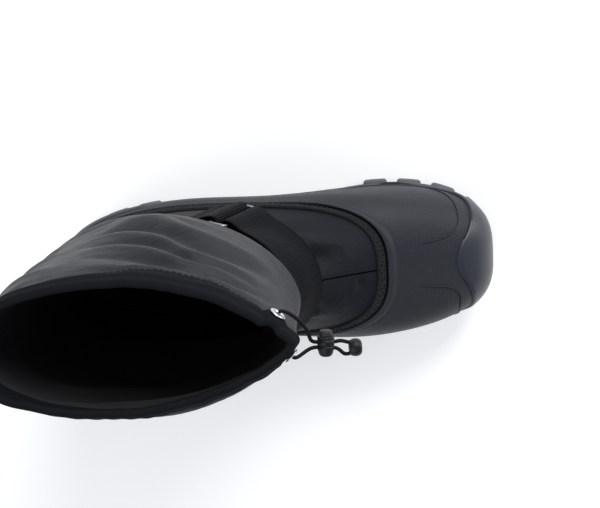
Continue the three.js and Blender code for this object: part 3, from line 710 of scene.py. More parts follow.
def felt(name, colour):
    f = Finish(name)
    where = f.place()
    fibre = f.noise(where, 1.0, 5, 0.75)
    soft = f.noise(where, 18, 2)
    base = f.shade(fibre * 0.6 + soft * 0.4, tone(colour, 0.5), tone(colour, 1.5))
    return f.surface(base, 0.92, f.bump(fibre, 0.5, 0.7), Sheen_Weight=0.2, Specular_IOR_Level=0.1)


def spun_thread(name, colour):
    f = Finish(name)
    x, y, z = f.parts(f.place())
    ply = abs((x * 3.1 + y * 2.7 + z * 2.9).sin())
    # painted shade: the colour follows the ply, darker in the hollows between the twists
    base = f.shade(ply, tone(colour, 0.7), tone(colour, 1.2))
    return f.surface(base, 0.62, f.bump(ply, 0.08, 0.7), Specular_IOR_Level=0.35)


# ---------------------------------------------------------------- what a user would change

def colour_prop(name, description, value):
    return bpy.props.FloatVectorProperty(
        name=name, description=description, default=value, size=3, min=0, max=1, subtype="COLOR",
    )


class BootColours(bpy.types.PropertyGroup):
    """The boot's colours."""

    nylon: colour_prop("Nylon", "Shaft cloth", (0.0118, 0.0130, 0.0168))
    # painted shade: the vamp is the same nylon as the shaft, given a darker colour for the dimmer light on
    # the instep
    vamp: colour_prop("Vamp", "Smooth cloth over the instep", (0.0045, 0.0060, 0.0090))
    lining: colour_prop("Lining", "Cloth inside the shaft", (0.022, 0.022, 0.0235))
    quarter: colour_prop("Quarter", "Heavy cloth at the sides of the heel", (0.027, 0.0266, 0.0285))
    binding: colour_prop("Binding", "Tape along the shell's edge", (0.0048, 0.0052, 0.0064))
    webbing: colour_prop("Webbing", "Strap and ring tab", (0.0052, 0.0056, 0.0072))
    thread: colour_prop("Thread", "Stitching", (0.0175, 0.0185, 0.0215))
    shell: colour_prop("Shell", "Moulded rubber foot", (0.0150, 0.0172, 0.0270))
    bumper: colour_prop("Bumper", "Toe overlay", (0.0165, 0.0188, 0.0275))
    sole: colour_prop("Sole", "Outsole and lugs", (0.070, 0.073, 0.080))
    metal: colour_prop("Metal", "Ring and eyelets", (0.55, 0.56, 0.58))
    plastic: colour_prop("Plastic", "Cord lock and end piece", (0.0065, 0.0067, 0.0075))
    button: colour_prop("Button", "Cord lock's button", (0.022, 0.022, 0.024))
    cord: colour_prop("Cord", "Drawcord", (0.0035, 0.0035, 0.004))
    felt: colour_prop("Insole", "Felt footbed", (0.016, 0.016, 0.016))
    floor: colour_prop("Floor", "The stage's floor", (0.90, 0.90, 0.90))


def length_prop(name, description, value):
    return bpy.props.FloatProperty(
        name=name, description=description, default=value * MM, min=0, unit="LENGTH",
    )


class BootSizes(bpy.types.PropertyGroup):
    """The sizes of the boot's trim."""

    grid_pitch: length_prop("Grid Pitch", "Squares moulded in the shell", 1.4)
    weave_pitch: length_prop("Weave Pitch", "Thread bundles of the heavy cloth", 1.25)
    stitch: length_prop("Stitch", "Length of a stitch", 2.6)
    binding_width: length_prop("Binding Width", "Tape along the shell's edge", 7.2)
    cord: length_prop("Cord", "Diameter of the drawcord", 2.2)
    fold_depth: bpy.props.FloatProperty(
        name="Fold Depth", description="How deep the shaft's folds are, against the ones modelled",
        default=1.0, min=0, max=1.5, subtype="FACTOR",
    )


# ---------------------------------------------------------------- cloth

GAP = 0.3
SHELL_WALL = 3
WALL, HEM_WALL = 3, 4
TURN_LENGTH = 420  # about how long one turn is, in millimetres
LIP_LEVEL = 10.04  # the shaft hangs over the strap from here
HEM_SEAM, RIM_LEVEL = 15.02, 15.9
UPPER_COLUMNS = 360
RIM_THICK = HEM_WALL + 1.2

# Folds in the cloth: nodes (turn, level), height off the cloth and width in millimetres.
INNER_FOLDS = [
    ([(0.185, 12.45), (0.215, 11.95), (0.258, 12.0), (0.294, 12.55), (0.336, 12.9), (0.38, 13.0),
      (0.42, 13.0), (0.455, 13.05)], 2.4, 7.5),
    ([(0.17, 12.75), (0.235, 12.55), (0.28, 12.85), (0.32, 13.35), (0.36, 13.5), (0.41, 13.45),
      (0.44, 13.5)], -2.2, 5.5),
    ([(0.16, 12.95), (0.20, 12.85), (0.27, 13.35), (0.311, 13.85), (0.349, 14.0), (0.385, 14.0),
      (0.43, 13.95)], 2.0, 5.5),
    ([(0.17, 13.35), (0.225, 13.4), (0.285, 13.75), (0.325, 14.15), (0.37, 14.15), (0.41, 14.2)], -2.0, 4.5),
    ([(0.18, 13.7), (0.21, 13.7), (0.263, 14.0), (0.319, 14.4), (0.358, 14.38), (0.40, 14.4)], 1.7, 4.5),
    ([(0.19, 14.1), (0.24, 14.3), (0.295, 14.6), (0.35, 14.62), (0.40, 14.6), (0.44, 14.5)], -1.7, 4.0),
    ([(0.20, 14.6), (0.25, 14.85), (0.32, 14.95), (0.374, 14.9), (0.424, 14.8), (0.45, 14.7)], 1.3, 4.0),
    ([(0.13, 11.6), (0.20, 11.25), (0.26, 11.1), (0.31, 11.2), (0.37, 11.45)], -1.3, 5.0),
    ([(0.42, 11.9), (0.45, 12.4), (0.475, 12.9), (0.488, 13.6)], -1.4, 4.0),
]
OUTER_FOLDS = [
    ([(0.83, 12.3), (0.78, 11.9), (0.72, 12.1), (0.67, 12.6), (0.61, 12.95), (0.56, 13.0)], 2.3, 7.5),
    ([(0.84, 12.75), (0.77, 12.55), (0.70, 12.85), (0.65, 13.3), (0.59, 13.5)], -2.1, 5.5),
    ([(0.82, 13.15), (0.75, 13.2), (0.68, 13.7), (0.62, 13.95), (0.57, 13.95)], 2.0, 5.5),
    ([(0.81, 13.6), (0.74, 13.75), (0.67, 14.15), (0.60, 14.25)], -1.8, 4.8),
    ([(0.80, 14.1), (0.73, 14.3), (0.66, 14.55), (0.58, 14.55)], 1.6, 4.5),
    ([(0.79, 14.5), (0.71, 14.75), (0.63, 14.85), (0.57, 14.75)], -1.4, 4.0),
    ([(0.87, 11.6), (0.80, 11.25), (0.73, 11.15), (0.65, 11.35)], -1.3, 5.0),
    ([(0.58, 11.9), (0.55, 12.4), (0.525, 13.0), (0.513, 13.6)], -1.4, 4.0),
]
BACK_FOLDS = [
    ([(-0.10, 11.9), (-0.03, 11.7), (0.05, 11.8), (0.13, 12.1)], 1.9, 7.0),
    ([(-0.12, 12.5), (-0.04, 12.3), (0.04, 12.45), (0.11, 12.3)], -1.8, 5.5),
    ([(-0.11, 13.0), (-0.02, 12.85), (0.06, 13.1), (0.14, 13.2)], 1.7, 5.5),
    ([(-0.13, 13.45), (-0.05, 13.5), (0.03, 13.4), (0.12, 13.75)], -1.6, 5.0),
    ([(-0.10, 14.0), (-0.02, 14.1), (0.07, 13.95), (0.15, 14.3)], 1.4, 5.0),
    ([(-0.12, 14.5), (-0.03, 14.45), (0.06, 14.6), (0.14, 14.8)], -1.2, 4.0),
]
VAMP_FOLDS = [
    ([(0.405, 8.1), (0.42, 7.3), (0.438, 6.5), (0.455, 5.9)], 1.5, 5.5),
    ([(0.445, 8.0), (0.458, 7.2), (0.472, 6.4)], -1.9, 7.0),
    ([(0.375, 7.6), (0.39, 6.8), (0.40, 6.2)], -0.9, 5.0),
    ([(0.503, 5.62), (0.512, 5.75), (0.524, 5.62)], -1.0, 2.0),
    ([(0.545, 7.6), (0.553, 6.8), (0.565, 6.1)], 1.2, 5.0),
    ([(0.585, 7.5), (0.60, 6.7), (0.615, 6.0)], -0.9, 5.5),
    ([(0.52, 7.4), (0.53, 6.8), (0.54, 6.3)], -1.1, 4.5),
]
LINING_FOLDS = [
    ([(0.86, 14.5), (0.80, 14.35), (0.74, 14.3), (0.67, 14.25), (0.60, 14.3), (0.55, 14.5)], 2.6, 3.6),
    ([(0.90, 13.6), (0.80, 13.0), (0.70, 12.8), (0.62, 13.2)], 2.4, 8.0),
    ([(0.30, 13.4), (0.38, 13.0), (0.45, 13.3)], 2.0, 8.0),
    ([(0.95, 12.4), (0.05, 12.8), (0.15, 12.5)], 2.0, 9.0),
]


def creased(points, folds, depth=1.0):
    """How far the folds lift the cloth at each point, in millimetres."""
    flat = points.reshape(-1, 3)
    lift = np.zeros(len(flat))
    for nodes, height, width in folds:
        line = even(trail(nodes, steps=12)[0], 1.4)
        low, high = line.min(0) - 3 * width, line.max(0) + 3 * width
        near = np.where(((flat > low) & (flat < high)).all(1))[0]
        if not len(near):
            continue
        away = np.linalg.norm(flat[near, None] - line[None], axis=-1)
        closest = away.argmin(1)
        part = closest / (len(line) - 1)
        taper = np.sin(np.pi * np.clip(part, 0.02, 0.98)) ** 0.6
        lift[near] += 1.8 * height * depth * taper * np.exp(-((away.min(1) / (0.95 * width)) ** 2))
    return lift.reshape(points.shape[:-1])


EYELET_SEATS = {"medial": (0.458, 15.38), "lateral": (0.524, 15.38)}


def gathers(turn):
    """The small gathers that the drawcord makes round the collar, from -1 to 1."""
    return np.sin(2 * np.pi * (turn * 19 + 0.9 * np.sin(turn * 12)))


def cloth_lift(turn, level, points, depth):
    """The whole relief of the upper's outside."""
    lift = creased(points, INNER_FOLDS + OUTER_FOLDS + BACK_FOLDS, depth)
    lift += creased(points, VAMP_FOLDS) * smooth(level, 5.4, 5.8) * (1 - smooth(level, 7.9, 8.6))
    # the lip that hangs over the strap, fuller on the inner side
    lift += 2.0 * smooth(level, 10.1, 10.5) * (1 - smooth(level, 11.0, 12.2))
    lift += 4.0 * bell(turn, 0.235, 0.085) * bell(level, 11.1, 0.75)
    lift -= 1.2 * bell(level, 10.08, 0.09)
    # the collar's front is drawn in above the folds
    lift -= 2.6 * bell(turn, 0.445, 0.05) * smooth(level, 13.2, 14.6)
    # a hem with its row of stitches pulled in, and gathers above it
    lift -= 0.7 * bell(level, HEM_SEAM, 0.05) + 1.2 * bell(level, 14.98, 0.28)
    gather = gathers(turn) * 0.5 + np.sin(2 * np.pi * (turn * 31 + np.sin(turn * 17))) * 0.35
    lift += gather * smooth(level, 14.5, 15.0) * (0.62 - 0.3 * smooth(level, 15.2, 15.9))
    lift += 0.7 * bell(level, 15.45, 0.3) - 1.0 * smooth(level, 15.4, 15.9)
    # seams along the vamp and down the back
    seam = np.abs(turn - 0.5) * TURN_LENGTH
    lift += smooth(level, 5.2, 5.5) * (1 - smooth(level, 8.2, 8.6)) * (0.12 * bell(seam, 2.4, 1.4))
    back = np.minimum(turn % 1, 1 - turn % 1) * TURN_LENGTH
    lift += smooth(level, 10.6, 10.9) * (0.4 * bell(back, 2.2, 1.3) - 0.8 * bell(back, 0, 0.9))
    # low under the strap, and flat round the eyelets
    across = np.abs(points @ STRAP_NORMAL - STRAP_NORMAL @ STRAP_CREST)
    under_strap = (1 - smooth(across, 20, 25)) * (level < 10) * (np.abs(turn % 1 - 0.5) < 0.34)
    lift = mix(lift, np.minimum(lift, 0.45), under_strap)
    for seat_turn, seat_level in EYELET_SEATS.values():
        away = np.linalg.norm(points - skin(seat_turn, seat_level), axis=-1)
        lift = mix(lift, -0.35, 1 - smooth(away, 5.2, 8.5))
    return lift


def lift_above_shell(turn, level, points, depth):
    """The relief, faded out where the rubber covers the cloth."""
    return cloth_lift(turn, level, points, depth) * smooth(level, 4.7, 5.3)


def worn(turn, level, offset=0.0, depth=1.0):
    """Places on the folded cloth, moved off it by an offset in millimetres."""
    rest = skin(turn, level)
    return rest + outward(turn, level) * (lift_above_shell(turn, level, rest, depth) + offset)[..., None]


def wall_at(level):
    return mix(WALL, HEM_WALL, smooth(level, 14, 15))


def rolled_rim(turn, lift):
    """Rows that carry the cloth over the collar's rim, from the outside to the lining."""
    top = skin(turn, RIM_LEVEL, lift)
    inward = -unit(look_up(OUTWARD, turn, RIM_LEVEL) * (1, 1, 0))
    rows = []
    for angle in np.linspace(0, np.pi, 8)[1:-1]:
        over = RIM_THICK / 2 * (1 - math.cos(angle))
        rise = 2.1 * math.sin(angle) + 0.6 * angle / math.pi
        rows.append(top + inward * over + np.array([0, 0, rise]))
    return np.array(rows)


def lining_offset(turn, level, points, depth):
    """How far the inside lies off the boot's outside: a wall's thickness, and under every trough."""
    lift = creased(points, LINING_FOLDS) * (1 - smooth(level, 14.9, 15.3))
    pucker = 0.3 * gathers(turn)
    lift += 0.7 * bell(level, 15.45, 0.3) - 0.9 * bell(level, 14.9, 0.07) + pucker * smooth(level, 14.4, 15.0)
    under = lift_above_shell(turn, level, points, depth)
    return np.minimum(-wall_at(level) - lift, under - 2.0)


def build_upper(colours, sizes):
    turn = np.arange(UPPER_COLUMNS) / UPPER_COLUMNS
    outer_levels = np.concatenate([
        np.linspace(0, 4.4, 8), np.linspace(4.6, 10, 58),
        np.linspace(LIP_LEVEL, 10.5, 9), np.linspace(10.58, RIM_LEVEL, 82),
    ])
    t, h = np.meshgrid(turn, outer_levels)
    rest = skin(t, h)
    lift = lift_above_shell(t, h, rest, sizes.fold_depth)
    outer = rest + outward(t, h) * lift[..., None]
    rim = rolled_rim(turn, lift[-1])
    inner_levels = np.concatenate([np.linspace(RIM_LEVEL, 9, 44), np.linspace(8.6, 0, 14)])
    ti, hi = np.meshgrid(turn, inner_levels)
    inner_rest = skin(ti, hi)
    off = lining_offset(ti, hi, inner_rest, sizes.fold_depth)
    off[0] = -RIM_THICK + lift[-1]
    inner = inner_rest + outward(ti, hi) * off[..., None]
    grid = np.concatenate([outer, rim, inner])
    rim_lay = np.stack([lay_of(turn, RIM_LEVEL) + (0, 1.5 * (k + 1), 0) for k in range(len(rim))])
    lay = np.concatenate([lay_of(t, h), rim_lay, lay_of(ti, hi) * (1, -1, 1)])
    # which cloth each row has: 0 shaft, 1 lining, 2 vamp, 3 hem
    inside = len(outer) + len(rim)
    cloth_rows = np.zeros(len(grid), int)
    cloth_rows[inside + 6 :] = 1
    cloth_rows[: np.searchsorted(outer_levels, LIP_LEVEL)] = 2
    cloth_rows[np.searchsorted(outer_levels, HEM_SEAM + 0.01) : inside + 7] = 3
    cloths = [
        nylon_cloth("Nylon", colours.nylon),
        lining_cloth("Lining", colours.lining),
        # the vamp's darker colour is painted shade for the dimmer light on the instep
        nylon_cloth("Vamp Nylon", colours.vamp, 0.02, 0.52, 0.12),
        # painted shade: the hem and rolled rim are the shaft's nylon at 0.55 of its colour, for the shade
        # where the collar rolls inward
        nylon_cloth("Hem Nylon", tuple(0.55 * c for c in colours.nylon), 0.0, 0.85, 0.07),
    ]
    upper = put("upper_cloth", ring_form(grid, lay, cloth_rows), cloths, ["upper"])


# The heavy quarter's front edge, from the binding up, and the stitches that run down beside it.
QUARTER_LEVELS = [5.5, 6.4, 7.4, 8.15, LIP_LEVEL]
QUARTER_TURNS = [0.298, 0.31, 0.325, 0.335, 0.345]  # from the back
QUARTER_STITCHES = [(0.335, 8.15), (0.325, 7.4), (0.31, 6.4), (0.301, 5.75)]  # (turn from the back, level)


def quarter_slab(side, width):
    """One side's heavy cloth, from the back seam to the ring tab, as a thin closed sheet."""
    rows, columns = 44, 120
    part, rise = np.meshgrid(np.linspace(0, 1, columns), np.linspace(0, 1, rows))
    front = np.interp(mix(QUARTER_LEVELS[0], LIP_LEVEL, rise), QUARTER_LEVELS, QUARTER_TURNS)
    around = mix(0.002, front, part)
    low = band_level(around, 1, width) + 0.03
    level = mix(low, LIP_LEVEL, rise)
    # about how far it is to the nearest edge, where the sheet thins
    edge = np.minimum(np.minimum(part, 1 - part) * front * TURN_LENGTH, np.minimum(rise, 1 - rise) * 70)
    thick = 0.25 + 0.4 * np.sqrt(np.clip(edge / 0.8, 0, 1))
    turn = around if side > 0 else 1 - around
    outer, inner = skin(turn, level, thick), skin(turn, level, 0.12)
    lay = lay_of(turn, level).reshape(-1, 3)
    sheet = lattice(rows, columns, wrap_columns=False)
    base = rows * columns
    faces = sheet + [[k + base for k in face[::-1]] for face in sheet]
    border = (
        list(range(columns))
        + [r * columns + columns - 1 for r in range(1, rows)]
        + [(rows - 1) * columns + c for c in range(columns - 2, -1, -1)]
        + [r * columns for r in range(rows - 2, 0, -1)]
    )
    for a, b in zip(border, border[1:] + border[:1]):
        faces.append([b, a, a + base, b + base])
    return Form(np.concatenate([outer, inner]), faces, np.concatenate([lay, lay]))


def build_quarters(colours, sizes):
    cloth = heavy_weave("Heavy Cloth", colours.quarter, sizes.weave_pitch / MM)
    slabs = [quarter_slab(side, sizes.binding_width) for side in (1, -1)]
    put("quarter_panels", joined(slabs), cloth)


# ---------------------------------------------------------------- shell, bumper and sole

SHELL_COLUMNS, SHELL_TOP = 440, 5.01


def build_shell(colours, sizes):
    turn = np.arange(SHELL_COLUMNS) / SHELL_COLUMNS
    levels = np.concatenate([np.linspace(0, 4.5, 56), [4.56], np.linspace(4.6, 4.96, 10), [4.99, SHELL_TOP]])
    t, h = np.meshgrid(turn, levels)
    # a lip and a groove under it at the topline, a foxing band at the sole, a counter at the heel
    lip = 1.0 * smooth(h, 4.80, 4.88) * (1 - smooth(h, 4.95, 5.02) * 0.45)
    groove = -0.35 * bell(h, 4.76, 0.05)
    foxing = 0.5 * (1 - smooth(h, 0.36, 0.44)) * smooth(np.abs(t - 0.5), 0.15, 0.158)
    rest = skin(t, h)
    behind = rest[..., 0] + 3 * (h - 2.5) ** 2
    counter = 0.45 * (1 - smooth(behind, 70, 72.5)) * smooth(h, 0.5, 0.62) * (1 - smooth(h, 4.2, 4.32))
    throat = smooth(np.abs(t - 0.5), 0.2, 0.11)
    thin = (1.5 - 0.9 * throat) * smooth(h, 3.4, 4.7)
    outer = skin(t, h, GAP + SHELL_WALL - thin + lip * (0.45 + 0.55 * throat) + groove + foxing + counter)
    ti, hi = np.meshgrid(turn, [SHELL_TOP, 4.9, 4.5, 4, 3.5, 3, 2.5, 2, 1.5, 1, 0.5, 0])
    inner = skin(ti, hi, GAP)
    inner[-1, :, 2] = outer[0, :, 2] = footbed(outer[0, :, 0])
    form = ring_form(np.concatenate([outer, inner]), np.concatenate([lay_of(t, h), lay_of(ti, hi)]))
    rubber = moulded_rubber("Grid Rubber", colours.shell, 0.5, sizes.grid_pitch / MM, warm_light_paint=0.7)
    put("rubber_foot", form, rubber, ["shell"])


# A raised line hooks round each side of the toe box: its places in plan, (x, distance from the middle).
HOOK_LINE = [
    (203, 55), (225, 54), (247, 52), (264, 47), (277, 40.5),
    (283.2, 32), (283.4, 23), (276, 16.6), (266, 14.8), (256, 13.6),
]


def plan_point(x, y):
    """The (turn, level) on the shell that lies nearest over a place on the floor."""
    first = LEVEL_STEPS // 2
    flat = SURFACE[first : TOPLINE * LEVEL_STEPS + 1, :, :2]
    away = ((flat - (x, y)) ** 2).sum(-1)
    row, column = np.unravel_index(away.argmin(), away.shape)
    return column / TURNS, (row + first) / LEVEL_STEPS


def bead(nodes, radius, offset, sides=8, fade=True):
    """A thin raised line moulded along a trail."""
    line, normals = trail(nodes, offset, 8)
    part = np.linspace(0, 1, len(line))
    size = np.clip(np.minimum(part, 1 - part) * 12, 0.15, 1) if fade else None
    return swept(line, normals, circle(radius, sides), size)


def build_shell_lines(colours):
    beads = []
    for side in (1, -1):
        nodes = [plan_point(x, side * y + (1.5 if side > 0 else -1.0)) for x, y in HOOK_LINE]
        beads.append(bead(nodes, 0.62, GAP + SHELL_WALL + 0.1))
    # painted shade: the raised lines are a darker copy of the shell's rubber, for the shade along them
    rubber = moulded_rubber("Line Rubber", tuple(c * 0.45 for c in colours.shell), 0.5)
    put("foot_lines", joined(beads), rubber)


# The toe overlay's upper edge: (turn from the toe, level), from just past the middle outwards.
BUMPER_EDGE = [
    (-0.008, 3.16), (0.006, 3.16), (0.019, 2.96), (0.031, 2.58), (0.045, 2.02), (0.058, 1.4), (0.072, 1.02),
    (0.09, 0.86), (0.115, 0.78), (0.135, 0.5), (0.155, 0.2),
]
BUMPER_WALL = 1.4
BUMPER_REACH, BUMPER_FOOT = 0.149, 0.13  # turn from the toe, level
LEVEL_HEIGHT = 15.0  # about how far one level of the shell is, in millimetres


def rounded_off(depth, radius):
    """From 0 at an edge to 1 at a radius in from it, along a quarter circle."""
    return np.sqrt(np.clip(1 - (1 - np.clip(depth / radius, 0, 1)) ** 2, 0, 1))


def bumper_edge(away):
    line = curve_through(BUMPER_EDGE, 12)
    return np.interp(np.abs(away), line[:, 0], line[:, 1])


def build_bumper(colours):
    away = np.linspace(-BUMPER_REACH, BUMPER_REACH, 220)[:, None]
    turn = 0.5 + away
    edge = bumper_edge(away)
    near = GAP + SHELL_WALL + GAP
    level = mix(BUMPER_FOOT, edge, np.linspace(0, 1, 30)[None])
    round_edge = rounded_off((edge - level) * LEVEL_HEIGHT, 1.3)
    round_foot = rounded_off((level - BUMPER_FOOT) * LEVEL_HEIGHT, 0.8)
    fade = smooth(BUMPER_REACH - np.abs(away), 0, 0.01)
    rand = 0.55 * (1 - smooth(level, 0.55, 0.68))
    thick = (BUMPER_WALL + rand) * np.minimum(round_edge, round_foot) * (0.15 + 0.85 * fade)
    outer = skin(turn, level, near + 0.1 + thick)
    back = mix(BUMPER_FOOT, edge, np.linspace(1, 0, 6)[None])
    inner = skin(turn, back, near)
    grid = np.concatenate([outer, inner], 1)
    lay = np.concatenate([lay_of(turn, level), lay_of(turn, back)], 1)
    rubber = moulded_rubber("Bumper Rubber", colours.bumper, 0.36, gleam=0.45)
    put("toe_overlay", bar_form(grid, lay), rubber, ["toe_bumper"], flat_angle=50)


LEDGE, LUG_REACH, LUG_DEPTH, CHAMFER = 4.8, 7.3, 5, 1.5
HEEL_BREAST, TREAD_START, SPRING_START, TOE_TIP = 84, 158, 243, 310.5
LUG_PITCH, LUG_HALF, LUG_INWARDS = 24.3, 8.5, 12.5
LUG_BEFORE_TOE = 7  # the toe's lug reaches this far forward of the row
MIDDLE_LUG_HALF, MIDDLE_LUG_Y, MIDDLE_LUG_TURN = 7.5, 9.25, 0.35
MIDDLE_HEEL_START, MIDDLE_TREAD_START, MIDDLE_TREAD_END = 22, 172, 279
SOLE_COLUMNS, SOLE_MIDDLE = 360, -18.0


def tread(x):
    """The height of the ground side: flat, with an arch and a toe spring."""
    x = np.asarray(x, float)
    arch = np.clip((x - HEEL_BREAST) / (TREAD_START - HEEL_BREAST), 0, 1)
    spring = np.clip((x - SPRING_START) / (TOE_TIP - SPRING_START), 0, None)
    return 6 * np.sin(np.pi * arch) ** 2 + 9 * spring**1.7


def sole_edge(turn):
    """The feather line and the way out of it, in plan."""
    turn, step = np.asarray(turn), 0.004
    along = look_up(SURFACE, turn + step, 0.0) - look_up(SURFACE, turn - step, 0.0)
    along = unit(along * (1, 1, 0))
    out = np.stack([-along[..., 1], along[..., 0], 0 * along[..., 0]], -1)
    return look_up(SURFACE, turn, 0.0), out


def sole_ring(turn, grow, height):
    p, out = sole_edge(turn)
    p = p + out * grow
    p[..., 2] = height(p[..., 0])
    return p


def lug_reach(x):
    """How far the lugs stand beyond the feather line: at the waist they stay inside the sole's edge."""
    bare = smooth(x, 58, 74) * (1 - smooth(x, 206, 216))
    return mix(LUG_REACH, LEDGE - 0.8, bare)


def side_lug(turn0, half=LUG_HALF):
    """A block that wraps the sole's edge: a rounded outline, chamfered at the ground."""
    outline = rounded(half, LUG_INWARDS, 2.2, 4, 5)
    rows = []
    x0 = look_up(SURFACE, turn0, 0.0)[0]
    shorten = 0.68 if x0 < 20 else 1
    for inset, place in (
        (1.3, "ground"), (0.5, "chamfer"), (0.0, "low"), (0.0, "middle"), (0.15, "high"), (1.2, "top"),
    ):
        along = outline[:, 0] * (1 - inset / half)
        in_and_out = (outline[:, 1] * (1 - inset / LUG_INWARDS) - LUG_INWARDS) * shorten
        p, out = sole_edge(turn0 + along / GIRTH[0])
        reach = lug_reach(x0) if place != "top" else LEDGE - 1
        if place == "high":
            reach -= 0.5
        q = p + out * (reach + in_and_out)[:, None]
        ground, bed = tread(q[:, 0]), footbed(p[:, 0])
        q[:, 2] = {
            "ground": ground, "chamfer": ground + 0.5, "low": ground + 1.4,
            "middle": mix(ground, bed, 0.4), "high": bed - 4.6, "top": bed - 2.6,
        }[place]
        rows.append(q)
    return bar_form(np.array(rows))


def middle_lug(x, y, angle):
    outline = rounded(MIDDLE_LUG_HALF, MIDDLE_LUG_HALF, 2.4, 3)
    c, s = math.cos(angle), math.sin(angle)
    rows = []
    for inset, lift in ((1.1, 0.0), (0.4, 0.4), (0.0, 1.2), (-0.35, LUG_DEPTH + 1.0)):
        a, b = (outline * (1 - inset / MIDDLE_LUG_HALF)).T
        q = np.stack([x + c * a - s * b, y + s * a + c * b, 0 * a], -1)
        q[:, 2] = tread(q[:, 0]) + lift + 0.25
        rows.append(q)
    return bar_form(np.array(rows))


def above_tread(rise):
    return lambda x: tread(x) + LUG_DEPTH + rise


def below_footbed(drop):
    return lambda x: footbed(x) - drop


def edge_lugs():
    """The lugs round the sole's edge: one at the toe, then a row down each side, none at the arch."""
    first = LUG_PITCH / 2 - LUG_BEFORE_TOE
    lugs = [side_lug(0.5, LUG_HALF + first)]
    for side in (1, -1):
        away = first + LUG_PITCH
        while away < GIRTH[0] / 2:
            at = 0.5 - side * away / GIRTH[0]
            x = look_up(SURFACE, at, 0.0)[0]
            # the two rows share their last lug, at the back of the heel
            shared = side < 0 and away > GIRTH[0] / 2 - 13
            if not shared and not HEEL_BREAST - 4 < x < TREAD_START + 4:
                lugs.append(side_lug(at))
            away += LUG_PITCH
    return lugs


def middle_lugs():
    heel = np.arange(MIDDLE_HEEL_START, HEEL_BREAST - 8, LUG_PITCH)
    forefoot = np.arange(MIDDLE_TREAD_START, MIDDLE_TREAD_END, LUG_PITCH)
    return [
        middle_lug(x, side * MIDDLE_LUG_Y, side * MIDDLE_LUG_TURN)
        for x in [*heel, *forefoot]
        for side in (1, -1)
    ]


def build_sole(colours):
    turn = np.arange(SOLE_COLUMNS) / SOLE_COLUMNS
    # how far out each row of the plate lies, and its height, from the ground side to the footbed
    plate = [
        (SOLE_MIDDLE, above_tread(0)),
        (LEDGE - CHAMFER - 1, above_tread(0)),
        (LEDGE - CHAMFER, above_tread(0.15)),
        (LEDGE - 0.45, above_tread(0.7)),
        (LEDGE, above_tread(CHAMFER)),
        (LEDGE, below_footbed(4.4)),
        (LEDGE - 0.7, below_footbed(4.0)),
        (LEDGE - 0.7, below_footbed(3.4)),
        (LEDGE, below_footbed(3.0)),
        (LEDGE, below_footbed(0.9)),
        (LEDGE - 0.5, below_footbed(GAP)),
        (-3.0, below_footbed(GAP)),
        (SOLE_MIDDLE, below_footbed(GAP)),
    ]
    plate_form = bar_form(np.array([sole_ring(turn, grow, height) for grow, height in plate]))
    forms = [plate_form, *edge_lugs(), *middle_lugs()]
    rubber = moulded_rubber("Sole Rubber", colours.sole, 0.62)
    put("tread_sole", joined(forms), rubber, ["outsole"], flat_angle=40)


# The insole's outline from its underside to its top: (offset from the boot's outside, height).
INSOLE_ROWS = [
    (-14, 0.0), (-6.2, 0.0), (-5.0, 0.8), (-4.7, 2.4), (-5.0, 4.2), (-6.0, 5.0), (-8.0, 4.9), (-20, 4.2),
]
INSOLE_COLUMNS = 200


def build_insole(colours):
    turn = np.arange(INSOLE_COLUMNS) / INSOLE_COLUMNS
    rows = []
    for inward, lift in INSOLE_ROWS:
        p = skin(turn, 0.2, inward)
        p[:, 2] = footbed(p[:, 0]) + GAP + lift
        rows.append(p)
    insole = put("felt_insole", bar_form(np.array(rows)), felt("Felt", colours.felt), ["insole"])


# ---------------------------------------------------------------- binding and stitches

BINDING_COLUMNS, BINDING_ROWS = 480, 12


def band_level(turn, part, width):
    """The level at a part of the way up a band of even width that stands on the topline."""
    step = 0.3
    low, high = (look_up(SURFACE, turn, level) for level in (TOPLINE, TOPLINE + step))
    millimetres_a_level = np.linalg.norm(high - low, axis=-1) / step
    return TOPLINE + 0.04 + part * width / MM / millimetres_a_level


def build_binding(colours, sizes):
    turn = np.arange(BINDING_COLUMNS) / BINDING_COLUMNS
    part = np.linspace(0, 1, BINDING_ROWS)
    crown = np.sqrt(np.clip(1 - (2 * part - 1) ** 6, 0, 1))
    t, rise = np.meshgrid(turn, part)
    h = band_level(t, rise, sizes.binding_width)
    outer = skin(t, h, GAP + 0.1 + 1.1 * crown[:, None])
    back = [11, 7, 3, 0]
    inner = skin(t[back], h[back], GAP)
    lay = lay_of(t, h)
    form = ring_form(np.concatenate([outer, inner]), np.concatenate([lay, lay[back]]))
    tape = heavy_weave("Binding Tape", colours.binding, 0.8)
    put("topline_binding", form, tape, ["shell_binding"])


def binding_stitches(width, length):
    """Two rows of stitches along the binding and a zigzag between them."""
    loop = np.linspace(0, 1, 1201)
    forms = []
    for part in (0.2, 0.8):
        nodes = np.stack([loop, band_level(loop, part, width)], -1)
        forms.append(stitch_row(nodes, GAP + 1.25, length, 0.8, closed=True))
    girth = float(np.interp(TOPLINE + 0.3, LEVEL_TABLE, GIRTH))
    count = int(girth / 2.6) // 2 * 2
    turns = np.arange(count) / count
    levels = band_level(turns, np.where(np.arange(count) % 2, 0.30, 0.70), width)
    points = skin(turns, levels, GAP + 1.3)
    forms.append(threads(points, np.roll(points, -1, 0), outward(turns, levels), 0.3, 0.28))
    return joined(forms)


